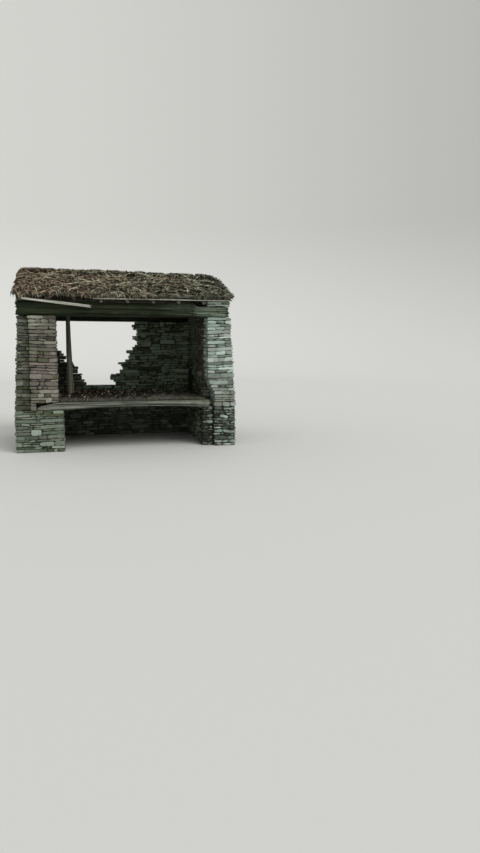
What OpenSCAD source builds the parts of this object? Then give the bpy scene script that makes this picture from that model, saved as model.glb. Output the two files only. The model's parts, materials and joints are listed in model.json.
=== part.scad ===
// Ruined stone watermill house: two drystone side walls with gables, two front
// piers, a broken rear wall, an undercroft open to the front under a hewn sill
// beam, a timber lintel, a pole roof and heavy slates laid in lapped courses.
// X runs to the right along the front, Y into the house, Z up from the ground.

/* [Walls] */
// Outside width of the house at the wall tops
house_w = 4200; // [4000:10:4600]
// Outside depth, front face to rear face
house_d = 2900; // [2700:10:3300]
// Height of the undercroft walls, ground to floor timbers
base_h = 820; // [700:10:1000]
// How far the undercroft walls stand out beyond the side walls
base_spread = 110; // [80:5:160]
// Thickness of the side walls above the floor
side_wall_t = 510; // [460:10:560]
// Thickness of the rear wall
rear_wall_t = 500; // [440:10:560]
// Ledge on the undercroft walls that carries the floor timbers
floor_ledge = 100; // [80:5:140]

/* [Front] */
// Clear height between the sill beam and the lintel
opening_h = 1680; // [1500:10:1900]
// Depth of both front piers
pier_d = 500; // [480:10:600]
// Width of the left pier
left_pier_w = 530; // [460:10:600]
// Width of the wall nib that shows beside the left pier
nib_w = 210; // [120:10:260]
// How far that nib stands back from the front face
nib_setback = 120; // [60:10:180]
// Width of the right pier
right_pier_w = 510; // [440:10:560]
// How far the left pier's base sticks out under its inner edge
left_plinth = 90; // [40:10:140]
// Width lost from the inner edge of the right pier, low down
right_loss = 135; // [60:5:200]
// Depth of that broken corner in the undercroft wall
right_loss_d = 120; // [60:10:180]

/* [Rear break] */
// Width of the rear wall that still stands full height
rear_standing_w = 1270; // [1000:10:1500]
// Height of the broken wall left in the gap, above the undercroft
stub_h = 330; // [240:10:420]
// Rise of one broken step
step_h = 275; // [200:5:300]
// Length of one broken step
step_w = 180; // [120:10:220]

/* [Sill and floor] */
// Height of the sill beam and of the floor beams
sill_h = 150; // [120:5:190]
// Depth of the sill beam, front to back
sill_d = 260; // [220:10:320]
// How far the sill beam stands back from the front face
sill_setback = 20; // [5:5:60]
// Hollow worn or hewn under the sill beam at mid span
sill_camber = 40; // [0:5:60]
// Length of the sill beam's left end that lies on the base
sill_bearing = 520; // [440:10:560]
// Length of the sill beam's right end that lies on the base
sill_right_bearing = 170; // [120:10:210]
// Width of a floor beam
floor_beam_w = 180; // [140:10:220]
// Thickness of the floor boards
floor_t = 40; // [30:5:60]
// Number of floor boards
floor_boards_n = 13; // [9:1:16]

/* [Lintels] */
// Height of the lintels and of the rear wall plate
lintel_h = 270; // [220:10:320]
// Depth of the front lintel and of the rear wall plate
lintel_d = 250; // [200:10:260]
// Gap between the front lintel and the inner lintel
lintel_gap = 20; // [10:5:40]
// Rise of the front lintel's underside at mid span
lintel_camber = 40; // [0:5:60]
// Height lost from the front lintel's weathered right end
lintel_loss = 50; // [20:5:80]
// Length of that weathered right end
lintel_loss_w = 660; // [560:10:800]
// How far the plate, purlins and ridge beam run into the side walls
beam_bearing = 300; // [200:10:340]

/* [Roof timbers] */
// Roof pitch in degrees
pitch = 18; // [14:1:24]
// Diameter of the ridge beam
ridge_dia = 170; // [140:5:210]
// Diameter of the purlins
purlin_dia = 150; // [110:5:170]
// Distance of each purlin from the ridge
purlin_from_ridge = 720; // [640:10:760]
// Diameter of the pole rafters
rafter_dia = 80; // [60:5:100]
// Number of pole rafters on each slope
rafters_n = 7; // [7:1:9]
// Depth of the flat seat cut in each rafter
rafter_seat = 5; // [2:1:10]
// Diameter of the prop post at its foot
post_foot_dia = 150; // [110:5:190]
// Diameter of the prop post at its head
post_head_dia = 80; // [60:5:100]
// Distance of the prop post from the left pier's inner edge
post_from_jamb = 190; // [150:10:400]
// Thickness of the roof boards
board_t = 25; // [20:1:35]
// Gap between neighbouring roof boards
board_gap = 20; // [10:1:30]
// Number of roof boards on each slope
boards_n = 6; // [5:1:7]
// Length of the slipped eaves board at the left
loose_board_len = 1310; // [1200:10:1400]
// Height of the slipped eaves board as seen from the front
loose_board_h = 55; // [40:5:60]
// Fall of the slipped eaves board from left to right
loose_board_fall = 135; // [80:5:160]
// Overhang of the roof boards past the front and rear faces
eaves_overhang = 120; // [100:5:150]

/* [Slates] */
// Thickness of a roof slate
slate_t = 28; // [20:1:34]
// Length of a roof slate up the slope
slate_len = 620; // [580:10:680]
// Number of slate courses on each slope
courses_n = 6; // [6:1:6]
// Number of slates in a course
slates_n = 9; // [7:1:11]
// How far the lowest slates run past the roof boards
slate_tail = 20; // [10:5:40]
// Overhang of the top slates past the side walls
verge_overhang = 105; // [60:5:110]
// Most that a slate at the verge falls short of its line
verge_ragged = 40; // [10:5:60]
// Most that a slate's lower edge falls short of its course line
tail_ragged = 40; // [0:5:60]
// Reach of the ridge slates down each slope
ridge_reach = 300; // [240:10:360]
// How far the front ridge slates stand over the ridge
ridge_comb = 55; // [30:5:60]
// Thickness of the leaf and twig litter at its left end
litter_left = 100; // [60:5:140]
// Thickness of the litter at its right end
litter_right = 45; // [30:5:90]

/* [Hidden] */
$fn = 48;
// Running gap between pieces that lie on each other
fit = 0.3;
front_y = -house_d / 2;
rear_y = house_d / 2;
left_x = -house_w / 2;
right_x = house_w / 2;
left_in_x = left_x + side_wall_t;
right_in_x = right_x - side_wall_t;
rear_in_y = rear_y - rear_wall_t;
pier_back_y = front_y + pier_d;
base_left_x = left_x - base_spread;
base_right_x = right_x + base_spread;
base_left_in_x = left_in_x + floor_ledge;
base_right_in_x = right_in_x - floor_ledge;
base_rear_in_y = rear_in_y - floor_ledge;
left_jamb_x = left_x + nib_w + left_pier_w;
right_jamb_x = right_x - right_pier_w;
sill_top = base_h + sill_h;
pier_top = sill_top + opening_h;
lintel_top = pier_top + lintel_h;
sill_front_y = front_y + sill_setback;
sill_back_y = sill_front_y + sill_d;
sill_left_x = left_jamb_x + left_plinth - sill_bearing;
sill_right_x = base_right_in_x + sill_right_bearing;
floor_z = sill_top + floor_t + fit;
break_x = right_in_x - rear_standing_w;
foot_x = break_x - 3 * step_w;
stub_z = base_h + stub_h;
// The roof plane lies on the rafters; it is measured at the front face
roof_z = lintel_top + rafter_dia / cos(pitch) - rafter_seat;
ridge_z = roof_z + house_d / 2 * tan(pitch);
slope_len = house_d / 2 / cos(pitch);
eaves_s = -eaves_overhang / cos(pitch);
rafter_low = rafter_dia / cos(pitch);
ridge_beam_z = ridge_z - rafter_low - ridge_dia / 2 - fit;
purlin_z = ridge_z - purlin_from_ridge * tan(pitch) - rafter_low - purlin_dia / 2 / cos(pitch) - fit;
board_pitch = (slope_len - eaves_s) / boards_n;
slates_low_s = eaves_s - slate_tail;
exposure = (slope_len - slates_low_s) / courses_n;
lap_rise = slate_t / exposure;
lap_angle = atan(lap_rise);
// Top of the highest slate edge above the roof plane
slate_crest = board_t + slate_len * lap_rise + slate_t;
// Upper face of the top course where it meets the ridge
crown_t = board_t + fit + low_face(courses_n, slope_len) + slate_t;
crown_slope = pitch - lap_angle;
crown_z = ridge_z + crown_t * cos(pitch) + crown_t * sin(pitch) * tan(crown_slope);
post_x = left_jamb_x + post_from_jamb;

STONE = [0.47, 0.45, 0.42];
DARK_STONE = [0.38, 0.38, 0.35];
OLD_WOOD = [0.42, 0.41, 0.37];
MOSSY_WOOD = [0.20, 0.23, 0.15];
POLE_WOOD = [0.33, 0.29, 0.24];
PALE_WOOD = [0.62, 0.61, 0.56];
SLATE = [0.36, 0.37, 0.37];
LITTER = [0.36, 0.25, 0.20];

// A repeatable number from 0 to 1 for the n-th stone or slate
function scatter(n) = let (v = sin(n * 137.51 + 31.7) * 4375.85) v - floor(v);

// Lower edge of a slate course, measured up the slope from the front face
function tail_s(course) = slates_low_s + (course - 1) * exposure;

// Lower face of a slate course above the roof boards at a place on the slope
function low_face(course, s) = (tail_s(course) + slate_len - s) * lap_rise;

// Height of the roof plane above the ground at a depth y
function plane_z(y) = ridge_z - abs(y) * tan(pitch);

module block(x0, x1, y0, y1, z0, z1) {
    translate([x0, y0, z0]) cube([x1 - x0, y1 - y0, z1 - z0]);
}

// An outline in X and Z, carried from y0 to y1
module front_outline(points, y0, y1) {
    translate([0, y1, 0]) rotate([90, 0, 0]) linear_extrude(height = y1 - y0) polygon(points);
}

// An outline in Y and Z, carried from x0 to x1
module side_outline(points, x0, x1) {
    translate([x0, 0, 0]) rotate([90, 0, 90]) linear_extrude(height = x1 - x0) polygon(points);
}

// Children are drawn with Y up the slope and Z square to it
module front_slope() {
    translate([0, front_y, roof_z]) rotate([pitch, 0, 0]) children();
}

module rear_slope() {
    mirror([0, 1, 0]) front_slope() children();
}

module log_beam(x0, x1, y, z, dia) {
    translate([x0, y, z]) rotate([0, 90, 0]) cylinder(h = x1 - x0, d = dia);
}

module left_pier_base() {
    color(STONE)
        block(base_left_x, left_jamb_x + left_plinth, front_y, pier_back_y, 0, base_h);
}

module right_pier_base() {
    color(DARK_STONE) difference() {
        block(base_right_in_x, base_right_x, front_y, pier_back_y, 0, base_h);
        block(base_right_in_x - 1, right_jamb_x + right_loss, front_y - 1, front_y + right_loss_d, -1, base_h + 1);
    }
}

module left_base_wall() {
    color(DARK_STONE) block(base_left_x, base_left_in_x, pier_back_y, rear_y, 0, base_h);
}

module right_base_wall() {
    color(DARK_STONE) block(base_right_in_x, base_right_x, pier_back_y, rear_y, 0, base_h);
}

module rear_base_wall() {
    color(DARK_STONE) block(base_left_in_x, base_right_in_x, base_rear_in_y, rear_y, 0, base_h);
}

// The pier stands on the sill beam in front and on its base behind
module left_pier() {
    color(STONE) difference() {
        block(left_x + nib_w, left_jamb_x, front_y, pier_back_y, base_h, pier_top);
        block(sill_left_x - fit, left_jamb_x + 1, front_y - 1, sill_back_y + fit, base_h - 1, sill_top + fit);
    }
}

// The outer face leans in; the inner edge has lost its stones low down
module right_pier() {
    kink = sill_top + opening_h / 4;
    color(STONE) front_outline([
        [right_jamb_x + right_loss, base_h],
        [base_right_x, base_h],
        [right_x, pier_top],
        [right_jamb_x, pier_top],
        [right_jamb_x, kink],
        [right_jamb_x + right_loss, kink - right_loss * 2]
    ], front_y, pier_back_y);
}

// Side elevation of a gable wall behind the front pier
function gable_outline() = [
    [pier_back_y, base_h],
    [rear_y, base_h],
    [rear_y, plane_z(rear_y)],
    [0, ridge_z],
    [pier_back_y, plane_z(pier_back_y)]
];

module gable_wall(side) {
    outer_x = side * house_w / 2;
    inner_x = side * (house_w / 2 - side_wall_t);
    foot = side * (house_w / 2 + base_spread);
    difference() {
        intersection() {
            side_outline(gable_outline(), min(foot, inner_x), max(foot, inner_x));
            front_outline([
                [inner_x, base_h], [foot, base_h], [outer_x, pier_top],
                [outer_x, ridge_z], [inner_x, ridge_z]
            ], pier_back_y, rear_y);
        }
        beam_pockets();
    }
}

// Room for the ends of the ridge beam, the purlins and the rear wall plate
module beam_pockets() {
    reach = house_w / 2 - side_wall_t + beam_bearing + fit;
    log_beam(-reach, reach, 0, ridge_beam_z, ridge_dia + 2 * fit);
    for (side = [-1, 1])
        log_beam(-reach, reach, side * purlin_from_ridge, purlin_z, purlin_dia + 2 * fit);
    block(-reach, reach, rear_y - lintel_d - fit, rear_y + 1, pier_top, lintel_top + fit);
}

// The nib beside the left pier belongs to this wall
module left_side_wall() {
    color(DARK_STONE) union() {
        gable_wall(-1);
        front_outline([
            [left_x + nib_w, base_h], [base_left_x, base_h],
            [left_x, pier_top], [left_x + nib_w, pier_top]
        ], front_y + nib_setback, pier_back_y);
    }
}

module right_side_wall() {
    color(DARK_STONE) gable_wall(1);
}

// The standing right part of the rear wall, broken in steps at its left edge
module rear_wall() {
    color(DARK_STONE) front_outline([
        [right_in_x, base_h],
        [right_in_x, pier_top],
        [break_x, pier_top],
        [break_x, stub_z + 3 * step_h],
        [break_x - step_w, stub_z + 3 * step_h],
        [break_x - step_w, stub_z + 2 * step_h],
        [break_x - 2 * step_w, stub_z + 2 * step_h],
        [break_x - 2 * step_w, stub_z + step_h],
        [foot_x, stub_z + step_h],
        [foot_x, base_h]
    ], rear_in_y, rear_y);
}

// What is left of the fallen left part, stepping down from the corner
module rear_wall_stub() {
    color(DARK_STONE) front_outline([
        [left_in_x, base_h],
        [foot_x, base_h],
        [foot_x, stub_z],
        [left_in_x + 4 * step_w, stub_z],
        [left_in_x + 4 * step_w, stub_z + step_h],
        [left_in_x + 3 * step_w, stub_z + step_h],
        [left_in_x + 3 * step_w, stub_z + 2 * step_h],
        [left_in_x + 1.5 * step_w, stub_z + 2 * step_h],
        [left_in_x + 1.5 * step_w, stub_z + 3 * step_h],
        [left_in_x, stub_z + 3 * step_h]
    ], rear_in_y, rear_y);
}

// Underside of a beam between two bearings, hollowed by a camber
function hollow(x0, x1, z, camber, steps) =
    [for (i = [0 : steps]) [x0 + (x1 - x0) * i / steps, z + camber * sin(180 * i / steps)]];

// The left end is worn to a wedge where it lies under the pier
module sill_beam() {
    color(OLD_WOOD) front_outline(concat(
        [[sill_left_x, base_h]],
        hollow(left_jamb_x + left_plinth, base_right_in_x, base_h, sill_camber, 14),
        [
            [sill_right_x, base_h],
            [sill_right_x, sill_top],
            [left_jamb_x - left_pier_w / 8, sill_top],
            [sill_left_x + sill_h / 2, base_h + sill_h * 0.58],
            [sill_left_x, base_h + sill_h * 0.3]
        ]
    ), sill_front_y, sill_back_y);
}

module floor_beam(y0) {
    color(OLD_WOOD) block(left_in_x + fit, right_in_x - fit, y0, y0 + floor_beam_w, base_h, sill_top);
}

module mid_floor_beam() {
    floor_beam(-floor_beam_w / 2);
}

module rear_floor_beam() {
    floor_beam(rear_in_y - floor_beam_w - fit);
}

// Boards run front to back; those behind the left pier start at its back
module floor_boards() {
    gap = 5;
    room_w = right_in_x - left_in_x - 2 * gap;
    board_w = room_w / floor_boards_n;
    color(OLD_WOOD) for (i = [0 : floor_boards_n - 1]) {
        x0 = left_in_x + gap + i * board_w;
        y0 = x0 < left_jamb_x + fit ? pier_back_y + fit : sill_back_y - sill_d / 2;
        block(x0, x0 + board_w - gap, y0, rear_in_y - fit, sill_top + fit, floor_z);
    }
}

// A hewn trunk with a slight rise below; its right end has weathered down
module front_lintel() {
    end_x = right_x - 40;
    color(MOSSY_WOOD) front_outline(concat(
        [[left_x, pier_top]],
        hollow(left_jamb_x, right_jamb_x, pier_top, lintel_camber, 14),
        [
            [end_x, pier_top],
            [end_x, lintel_top - lintel_loss],
            [end_x - lintel_loss_w, lintel_top - lintel_loss],
            [end_x - lintel_loss_w - 2 * lintel_loss, lintel_top],
            [left_x, lintel_top]
        ]
    ), front_y, front_y + lintel_d);
}

module inner_lintel() {
    color(MOSSY_WOOD)
        block(left_x + 100, right_x - 100, front_y + lintel_d + lintel_gap, pier_back_y, pier_top, lintel_top);
}

module rear_wall_plate() {
    reach = right_in_x + beam_bearing;
    color(POLE_WOOD) block(-reach, reach, rear_y - lintel_d, rear_y, pier_top, lintel_top);
}

// Flat stones that fill between the lintel ends and the roof
module packing_stones(x0, x1, front_z) {
    split_y = front_y + lintel_d;
    side_outline([
        [front_y, front_z],
        [split_y, front_z],
        [split_y, lintel_top],
        [pier_back_y, lintel_top],
        [pier_back_y, plane_z(pier_back_y)],
        [front_y, plane_z(front_y)]
    ], x0, x1);
}

module left_packing_stones() {
    color(STONE) packing_stones(left_x, left_in_x, lintel_top);
}

module right_packing_stones() {
    color(STONE) packing_stones(right_in_x, right_x, lintel_top - lintel_loss);
}

module ridge_beam() {
    reach = right_in_x + beam_bearing;
    color(POLE_WOOD) log_beam(-reach, reach, 0, ridge_beam_z, ridge_dia);
}

module purlin(side) {
    reach = right_in_x + beam_bearing;
    color(POLE_WOOD) log_beam(-reach, reach, side * purlin_from_ridge, purlin_z, purlin_dia);
}

module front_purlin() {
    purlin(-1);
}

module rear_purlin() {
    purlin(1);
}

// Pole rafters lie in the slope's own frame, with a flat seat on the lintel.
// Those left of tails_from_x have lost their tails.
module rafters(tails_from_x) {
    first_x = left_in_x + rafter_dia;
    spacing = (right_in_x - left_in_x - 2 * rafter_dia) / (rafters_n - 1);
    head_s = slope_len - rafter_dia * tan(pitch) - fit;
    for (i = [0 : rafters_n - 1]) {
        x = first_x + i * spacing;
        foot_s = x < tails_from_x ? 0 : eaves_s;
        difference() {
            front_slope() translate([x, foot_s, -rafter_dia / 2])
                rotate([-90, 0, 0]) cylinder(h = head_s - foot_s, d = rafter_dia);
            block(x - rafter_dia, x + rafter_dia, front_y - 2 * eaves_overhang, front_y + lintel_d,
                  pier_top, lintel_top + fit);
        }
    }
}

module front_rafters() {
    color(POLE_WOOD) rafters(left_x + loose_board_len + 200);
}

module rear_rafters() {
    color(POLE_WOOD) mirror([0, 1, 0]) rafters(left_x);
}

// The post tapers like the young trunk it was
module prop_post() {
    head_z = ridge_beam_z - ridge_dia / 2 - fit;
    color(POLE_WOOD) translate([post_x, 0, floor_z + fit])
        cylinder(h = head_z - floor_z - fit, d1 = post_foot_dia, d2 = post_head_dia);
}

module roof_board(index, x0, x1) {
    s0 = eaves_s + index * board_pitch;
    block(x0, x1, s0, s0 + board_pitch - board_gap, fit, board_t);
}

module front_roof_boards() {
    color(OLD_WOOD) front_slope() for (i = [1 : boards_n - 1]) roof_board(i, left_x, right_x);
}

module rear_roof_boards() {
    color(OLD_WOOD) rear_slope() for (i = [0 : boards_n - 1]) roof_board(i, left_x, right_x);
}

module right_eaves_board() {
    color(PALE_WOOD) front_slope() roof_board(0, left_x + loose_board_len + 120, right_x);
}

// It has slipped off the rafters and hangs against the lintel's face
module loose_eaves_board() {
    high = plane_z(front_y) - 2 * fit - 12;
    x0 = left_x + 110;
    x1 = x0 + loose_board_len;
    color(PALE_WOOD) front_outline([
        [x0, high - loose_board_h * 0.7],
        [x1, high - loose_board_fall - loose_board_h],
        [x1, high - loose_board_fall],
        [x0, high]
    ], front_y - eaves_overhang + 10, front_y - fit);
}

// One slate: its lower face lies on the slate below, its head on the boards
module slate(course, x0, x1, low_s) {
    head_s = min(tail_s(course) + slate_len, slope_len);
    low_t = board_t + fit + low_face(course, low_s);
    head_t = board_t + fit + low_face(course, head_s);
    side_outline([
        [low_s, low_t], [head_s, head_t],
        [head_s, head_t + slate_t - fit], [low_s, low_t + slate_t - fit]
    ], x0, x1);
}

// The slates reach further past the side walls the higher they lie
function verge_at(course) = house_w / 2 + verge_overhang * (0.4 + 0.6 * course / courses_n);

// Joints between the slates of a course shift from course to course
function joint_x(course, i) =
    let (seed = course * 17 + i, verge_x = verge_at(course))
    i == 0 ? -verge_x + verge_ragged * scatter(seed) :
    i == slates_n ? verge_x - verge_ragged * scatter(seed) :
    -verge_x + 2 * verge_x * (i + 0.6 * (scatter(seed) - 0.5) + (course % 2 == 0 ? 0.25 : -0.15)) / slates_n;

module slate_row(course, from_s) {
    gap = 4;
    for (i = [0 : slates_n - 1]) {
        ragged = i == 2 ? 0 : tail_ragged * scatter(course * 31 + i * 7);
        slate(course, joint_x(course, i) + gap / 2, joint_x(course, i + 1) - gap / 2, from_s + ragged);
    }
}

// The lowest course lies on a starter row cut short at the eaves
module slate_course(course) {
    slate_row(course, tail_s(course));
    if (course == 1) slate_row(0, tail_s(1));
}

module front_slates(course) {
    color(SLATE) front_slope() slate_course(course);
}

module rear_slates(course) {
    color(SLATE) rear_slope() slate_course(course);
}

// Two rows lie on the top courses; the front row stands over the rear row
module ridge_slates() {
    rise = slate_t / cos(crown_slope);
    fall = tan(crown_slope);
    rear_head_y = ridge_comb + slate_t * sin(crown_slope) + 4;
    ridge_slates_n = slates_n - 1;
    gap = 6;
    color(SLATE) for (i = [0 : ridge_slates_n - 1]) {
        x0 = left_x + house_w * i / ridge_slates_n + gap;
        x1 = left_x + house_w * (i + 1) / ridge_slates_n - gap;
        reach = ridge_reach - tail_ragged * scatter(i + 200);
        side_outline([
            [-reach, crown_z - reach * fall + fit], [ridge_comb, crown_z + ridge_comb * fall + fit],
            [ridge_comb, crown_z + ridge_comb * fall + rise], [-reach, crown_z - reach * fall + rise]
        ], x0, x1);
        side_outline([
            [reach, crown_z - reach * fall + fit], [rear_head_y, crown_z - rear_head_y * fall + fit],
            [rear_head_y, crown_z - rear_head_y * fall + rise - fit], [reach, crown_z - reach * fall + rise - fit]
        ], x0, x1);
    }
}

// How far the litter is lifted to clear the ridge slates
litter_lift = crown_z + ridge_comb * tan(crown_slope) + slate_t / cos(crown_slope)
    - (plane_z(ridge_comb) + slate_crest / cos(pitch)) + 2;

// Underside of the litter: the slate crests, lifted over the ridge slates
function litter_low(y) =
    plane_z(y) + (slate_crest + 2 * fit) / cos(pitch) + (abs(y) < ridge_reach + 1 ? litter_lift : 0);

// Depths of the litter's rows, from the front eaves to the ridge
litter_edge = house_d / 2 + eaves_overhang - 40;
litter_steps = 6;
litter_rows = concat(
    [for (i = [0 : litter_steps]) -litter_edge + (litter_edge - ridge_reach - 12) * i / litter_steps],
    [-ridge_reach, -ridge_reach * 2 / 3, -ridge_reach / 3, -fit / 2]
);
litter_cols_n = 32;

// The mat follows the verge on the left and stops short of it on the right
function litter_x(c, r) =
    let (start = left_x - verge_overhang * 0.65 * min(r, litter_steps) / litter_steps)
    start + (right_x - 30 - start) * c / litter_cols_n;

// Thickness falls from left to right and thins out at the eaves and verges;
// both mats share their heights along the ridge
function litter_thick(c, r, seed) =
    let (
        across = litter_left + (litter_right - litter_left) * c / litter_cols_n,
        at_edge = c == 0 || c == litter_cols_n || r == 0,
        at_ridge = r == len(litter_rows) - 1,
        lump = scatter(c * 41 + r * 13 + (at_ridge ? 0 : seed))
    )
    at_edge ? across * 0.4 : r > litter_steps ? across * (0.75 + 0.25 * lump) : across * (0.45 + 0.55 * lump);

// A mat on the front slope, closed by a low, a top and a rim of walls
module litter_mat(seed) {
    rows_n = len(litter_rows);
    cols_n = litter_cols_n + 1;
    count = rows_n * cols_n;
    low = [for (r = [0 : rows_n - 1]) for (c = [0 : cols_n - 1])
        [litter_x(c, r), litter_rows[r], litter_low(litter_rows[r])]];
    top = [for (r = [0 : rows_n - 1]) for (c = [0 : cols_n - 1])
        [litter_x(c, r), litter_rows[r], litter_low(litter_rows[r]) + litter_thick(c, r, seed)]];
    cells = [for (r = [0 : rows_n - 2]) for (c = [0 : cols_n - 2]) r * cols_n + c];
    low_faces = [for (a = cells) each [[a, a + 1, a + cols_n], [a + 1, a + cols_n + 1, a + cols_n]]];
    top_faces = [for (f = low_faces) [f[0] + count, f[2] + count, f[1] + count]];
    rim = concat(
        [for (c = [0 : cols_n - 1]) c],
        [for (r = [1 : rows_n - 1]) r * cols_n + cols_n - 1],
        [for (c = [cols_n - 2 : -1 : 0]) (rows_n - 1) * cols_n + c],
        [for (r = [rows_n - 2 : -1 : 1]) r * cols_n]
    );
    rim_n = len(rim);
    walls = [for (i = [0 : rim_n - 1])
        let (a = rim[i], b = rim[(i + 1) % rim_n])
        each [[a, a + count, b], [b, a + count, b + count]]];
    polyhedron(points = concat(low, top), faces = concat(low_faces, top_faces, walls));
}

module front_litter() {
    color(LITTER) litter_mat(0);
}

module rear_litter() {
    color(LITTER) mirror([0, 1, 0]) litter_mat(500);
}

left_pier_base();
right_pier_base();
left_base_wall();
right_base_wall();
rear_base_wall();
left_pier();
right_pier();
left_side_wall();
right_side_wall();
rear_wall();
rear_wall_stub();
sill_beam();
mid_floor_beam();
rear_floor_beam();
floor_boards();
front_lintel();
inner_lintel();
rear_wall_plate();
left_packing_stones();
right_packing_stones();
ridge_beam();
front_purlin();
rear_purlin();
front_rafters();
rear_rafters();
prop_post();
front_roof_boards();
rear_roof_boards();
loose_eaves_board();
right_eaves_board();
front_slates(1);  // front_slates_1
front_slates(2);  // front_slates_2
front_slates(3);  // front_slates_3
front_slates(4);  // front_slates_4
front_slates(5);  // front_slates_5
front_slates(6);  // front_slates_6
rear_slates(1);  // rear_slates_1
rear_slates(2);  // rear_slates_2
rear_slates(3);  // rear_slates_3
rear_slates(4);  // rear_slates_4
rear_slates(5);  // rear_slates_5
rear_slates(6);  // rear_slates_6
ridge_slates();
front_litter();
rear_litter();
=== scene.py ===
import json
import math
import random

import bmesh
import bpy
import numpy as np
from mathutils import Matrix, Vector
from mathutils.bvhtree import BVHTree


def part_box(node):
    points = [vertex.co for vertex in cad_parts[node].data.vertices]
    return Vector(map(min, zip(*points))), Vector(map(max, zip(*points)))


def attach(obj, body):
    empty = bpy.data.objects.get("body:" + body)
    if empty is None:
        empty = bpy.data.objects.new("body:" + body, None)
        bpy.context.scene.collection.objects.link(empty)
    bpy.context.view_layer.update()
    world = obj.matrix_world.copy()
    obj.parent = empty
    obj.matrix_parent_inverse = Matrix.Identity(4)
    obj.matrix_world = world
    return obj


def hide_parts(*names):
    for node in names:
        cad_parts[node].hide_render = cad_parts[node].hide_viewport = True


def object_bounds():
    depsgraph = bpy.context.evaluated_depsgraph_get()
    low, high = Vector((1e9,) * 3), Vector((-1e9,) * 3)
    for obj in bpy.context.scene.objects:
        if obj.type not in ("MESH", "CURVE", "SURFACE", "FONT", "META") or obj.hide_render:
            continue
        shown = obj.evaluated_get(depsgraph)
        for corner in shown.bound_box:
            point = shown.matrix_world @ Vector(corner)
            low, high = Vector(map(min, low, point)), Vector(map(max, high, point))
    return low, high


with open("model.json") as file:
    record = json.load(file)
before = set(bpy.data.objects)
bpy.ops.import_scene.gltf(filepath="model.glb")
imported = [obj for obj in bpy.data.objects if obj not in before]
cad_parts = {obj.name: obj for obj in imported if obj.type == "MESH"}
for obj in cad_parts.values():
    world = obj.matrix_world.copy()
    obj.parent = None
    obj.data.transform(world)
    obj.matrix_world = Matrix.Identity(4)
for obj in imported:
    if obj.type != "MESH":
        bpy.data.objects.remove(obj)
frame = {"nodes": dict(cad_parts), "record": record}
cad_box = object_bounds()
nodes = frame["nodes"]

# The undercroft walls and the bases of the front piers.
# Split schist laid dry in courses a hand high, with long stones turned at the
# corners and earth behind; the front right corner has lost its facing.
course_height = 0.062
joint = 0.004
facing_depth = 0.16
core_inset = 0.038
broken_within_x = 1.45
sill_middle_z = 0.9
lintel_foot = 2.65
slots = {s["node"]: s["material_slot"] for s in frame["record"]["subparts"]}
masonry = [node for node in slots if slots[node] in ("schist", "dark_schist")]


def welded(node):
    """A bmesh of a node's solid with its shared corners joined."""
    bm = bmesh.new()
    bm.from_mesh(nodes[node].data)
    bmesh.ops.remove_doubles(bm, verts=bm.verts, dist=1e-5)
    bmesh.ops.recalc_face_normals(bm, faces=bm.faces)
    return bm


def solid_tree(*members):
    """One search tree over the surfaces of some nodes."""
    points = []
    faces = []
    for node in members:
        mesh = nodes[node].data
        start = len(points)
        points += [v.co.copy() for v in mesh.vertices]
        faces += [[start + i for i in p.vertices] for p in mesh.polygons]
    return BVHTree.FromPolygons(points, faces)


def is_inside(tree, point):
    """True if a ray from the point leaves the solid an odd number of times."""
    heading = Vector((0.31, 0.17, 0.93)).normalized()
    start = Vector(point)
    crossings = 0
    while crossings < 12:
        hit = tree.ray_cast(start, heading)[0]
        if hit is None:
            break
        crossings += 1
        start = hit + heading * 1e-4
    return crossings % 2 == 1


wall_trees = {node: solid_tree(node) for node in masonry}
wall_boxes = {node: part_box(node) for node in masonry}


def is_buried(point, own):
    """True if another wall's solid covers this point."""
    for node, tree in wall_trees.items():
        if node == own:
            continue
        low, high = wall_boxes[node]
        if all(low[i] - 0.001 < point[i] < high[i] + 0.001 for i in range(3)):
            if is_inside(tree, point):
                return True
    return False


def level_breaks():
    """Heights at which some wall has a flat top or foot."""
    levels = set()
    for node in masonry:
        bm = welded(node)
        for face in bm.faces:
            if abs(face.normal.z) > 0.999:
                levels.add(round(face.calc_center_median().z, 3))
        bm.free()
    levels.add(round(max(high.z for _, high in wall_boxes.values()), 3))
    return sorted(levels)


def lay_courses(rng):
    """Every course of every wall as (foot, top), broken at the flat levels."""
    laid = []
    breaks = level_breaks()
    for low, high in zip(breaks, breaks[1:]):
        shares = [rng.uniform(0.55, 1.45) for _ in range(max(1, round((high - low) / course_height)))]
        z = low
        for share in shares:
            rise = (high - low) * share / sum(shares)
            laid.append((z, z + rise))
            z += rise
    return laid


def section_loops(bm, z):
    """Outlines of a solid at a height, as loops of (x, y) with the solid on the left."""
    cut = bm.copy()
    geom = cut.verts[:] + cut.edges[:] + cut.faces[:]
    result = bmesh.ops.bisect_plane(cut, geom=geom, plane_co=(0, 0, z), plane_no=(0, 0, 1),
                                    clear_outer=True)
    links = {}
    for edge in result["geom_cut"]:
        if not isinstance(edge, bmesh.types.BMEdge):
            continue
        a, b = edge.verts
        if (b.co - a.co).cross(Vector((0, 0, 1))).dot(edge.link_faces[0].normal) < 0:
            a, b = b, a
        links[a] = b
    loops = []
    while links:
        start, ahead = links.popitem()
        loop = [start, ahead]
        while ahead in links:
            ahead = links.pop(ahead)
            loop.append(ahead)
        points = [Vector((v.co.x, v.co.y)) for v in loop]
        if (points[0] - points[-1]).length < 1e-5:
            points.pop()
        loops.append(straightened(points))
    cut.free()
    return [loop for loop in loops if len(loop) > 2]


def straightened(points):
    """The loop without the points that lie on a straight run."""
    kept = []
    for i, point in enumerate(points):
        before = point - points[i - 1]
        after = points[(i + 1) % len(points)] - point
        if before.length < 1e-4:
            continue
        if after.length > 1e-4 and abs(before.normalized().cross(after.normalized())) < 0.01:
            continue
        kept.append(point)
    return kept


block_cache = {}


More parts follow.
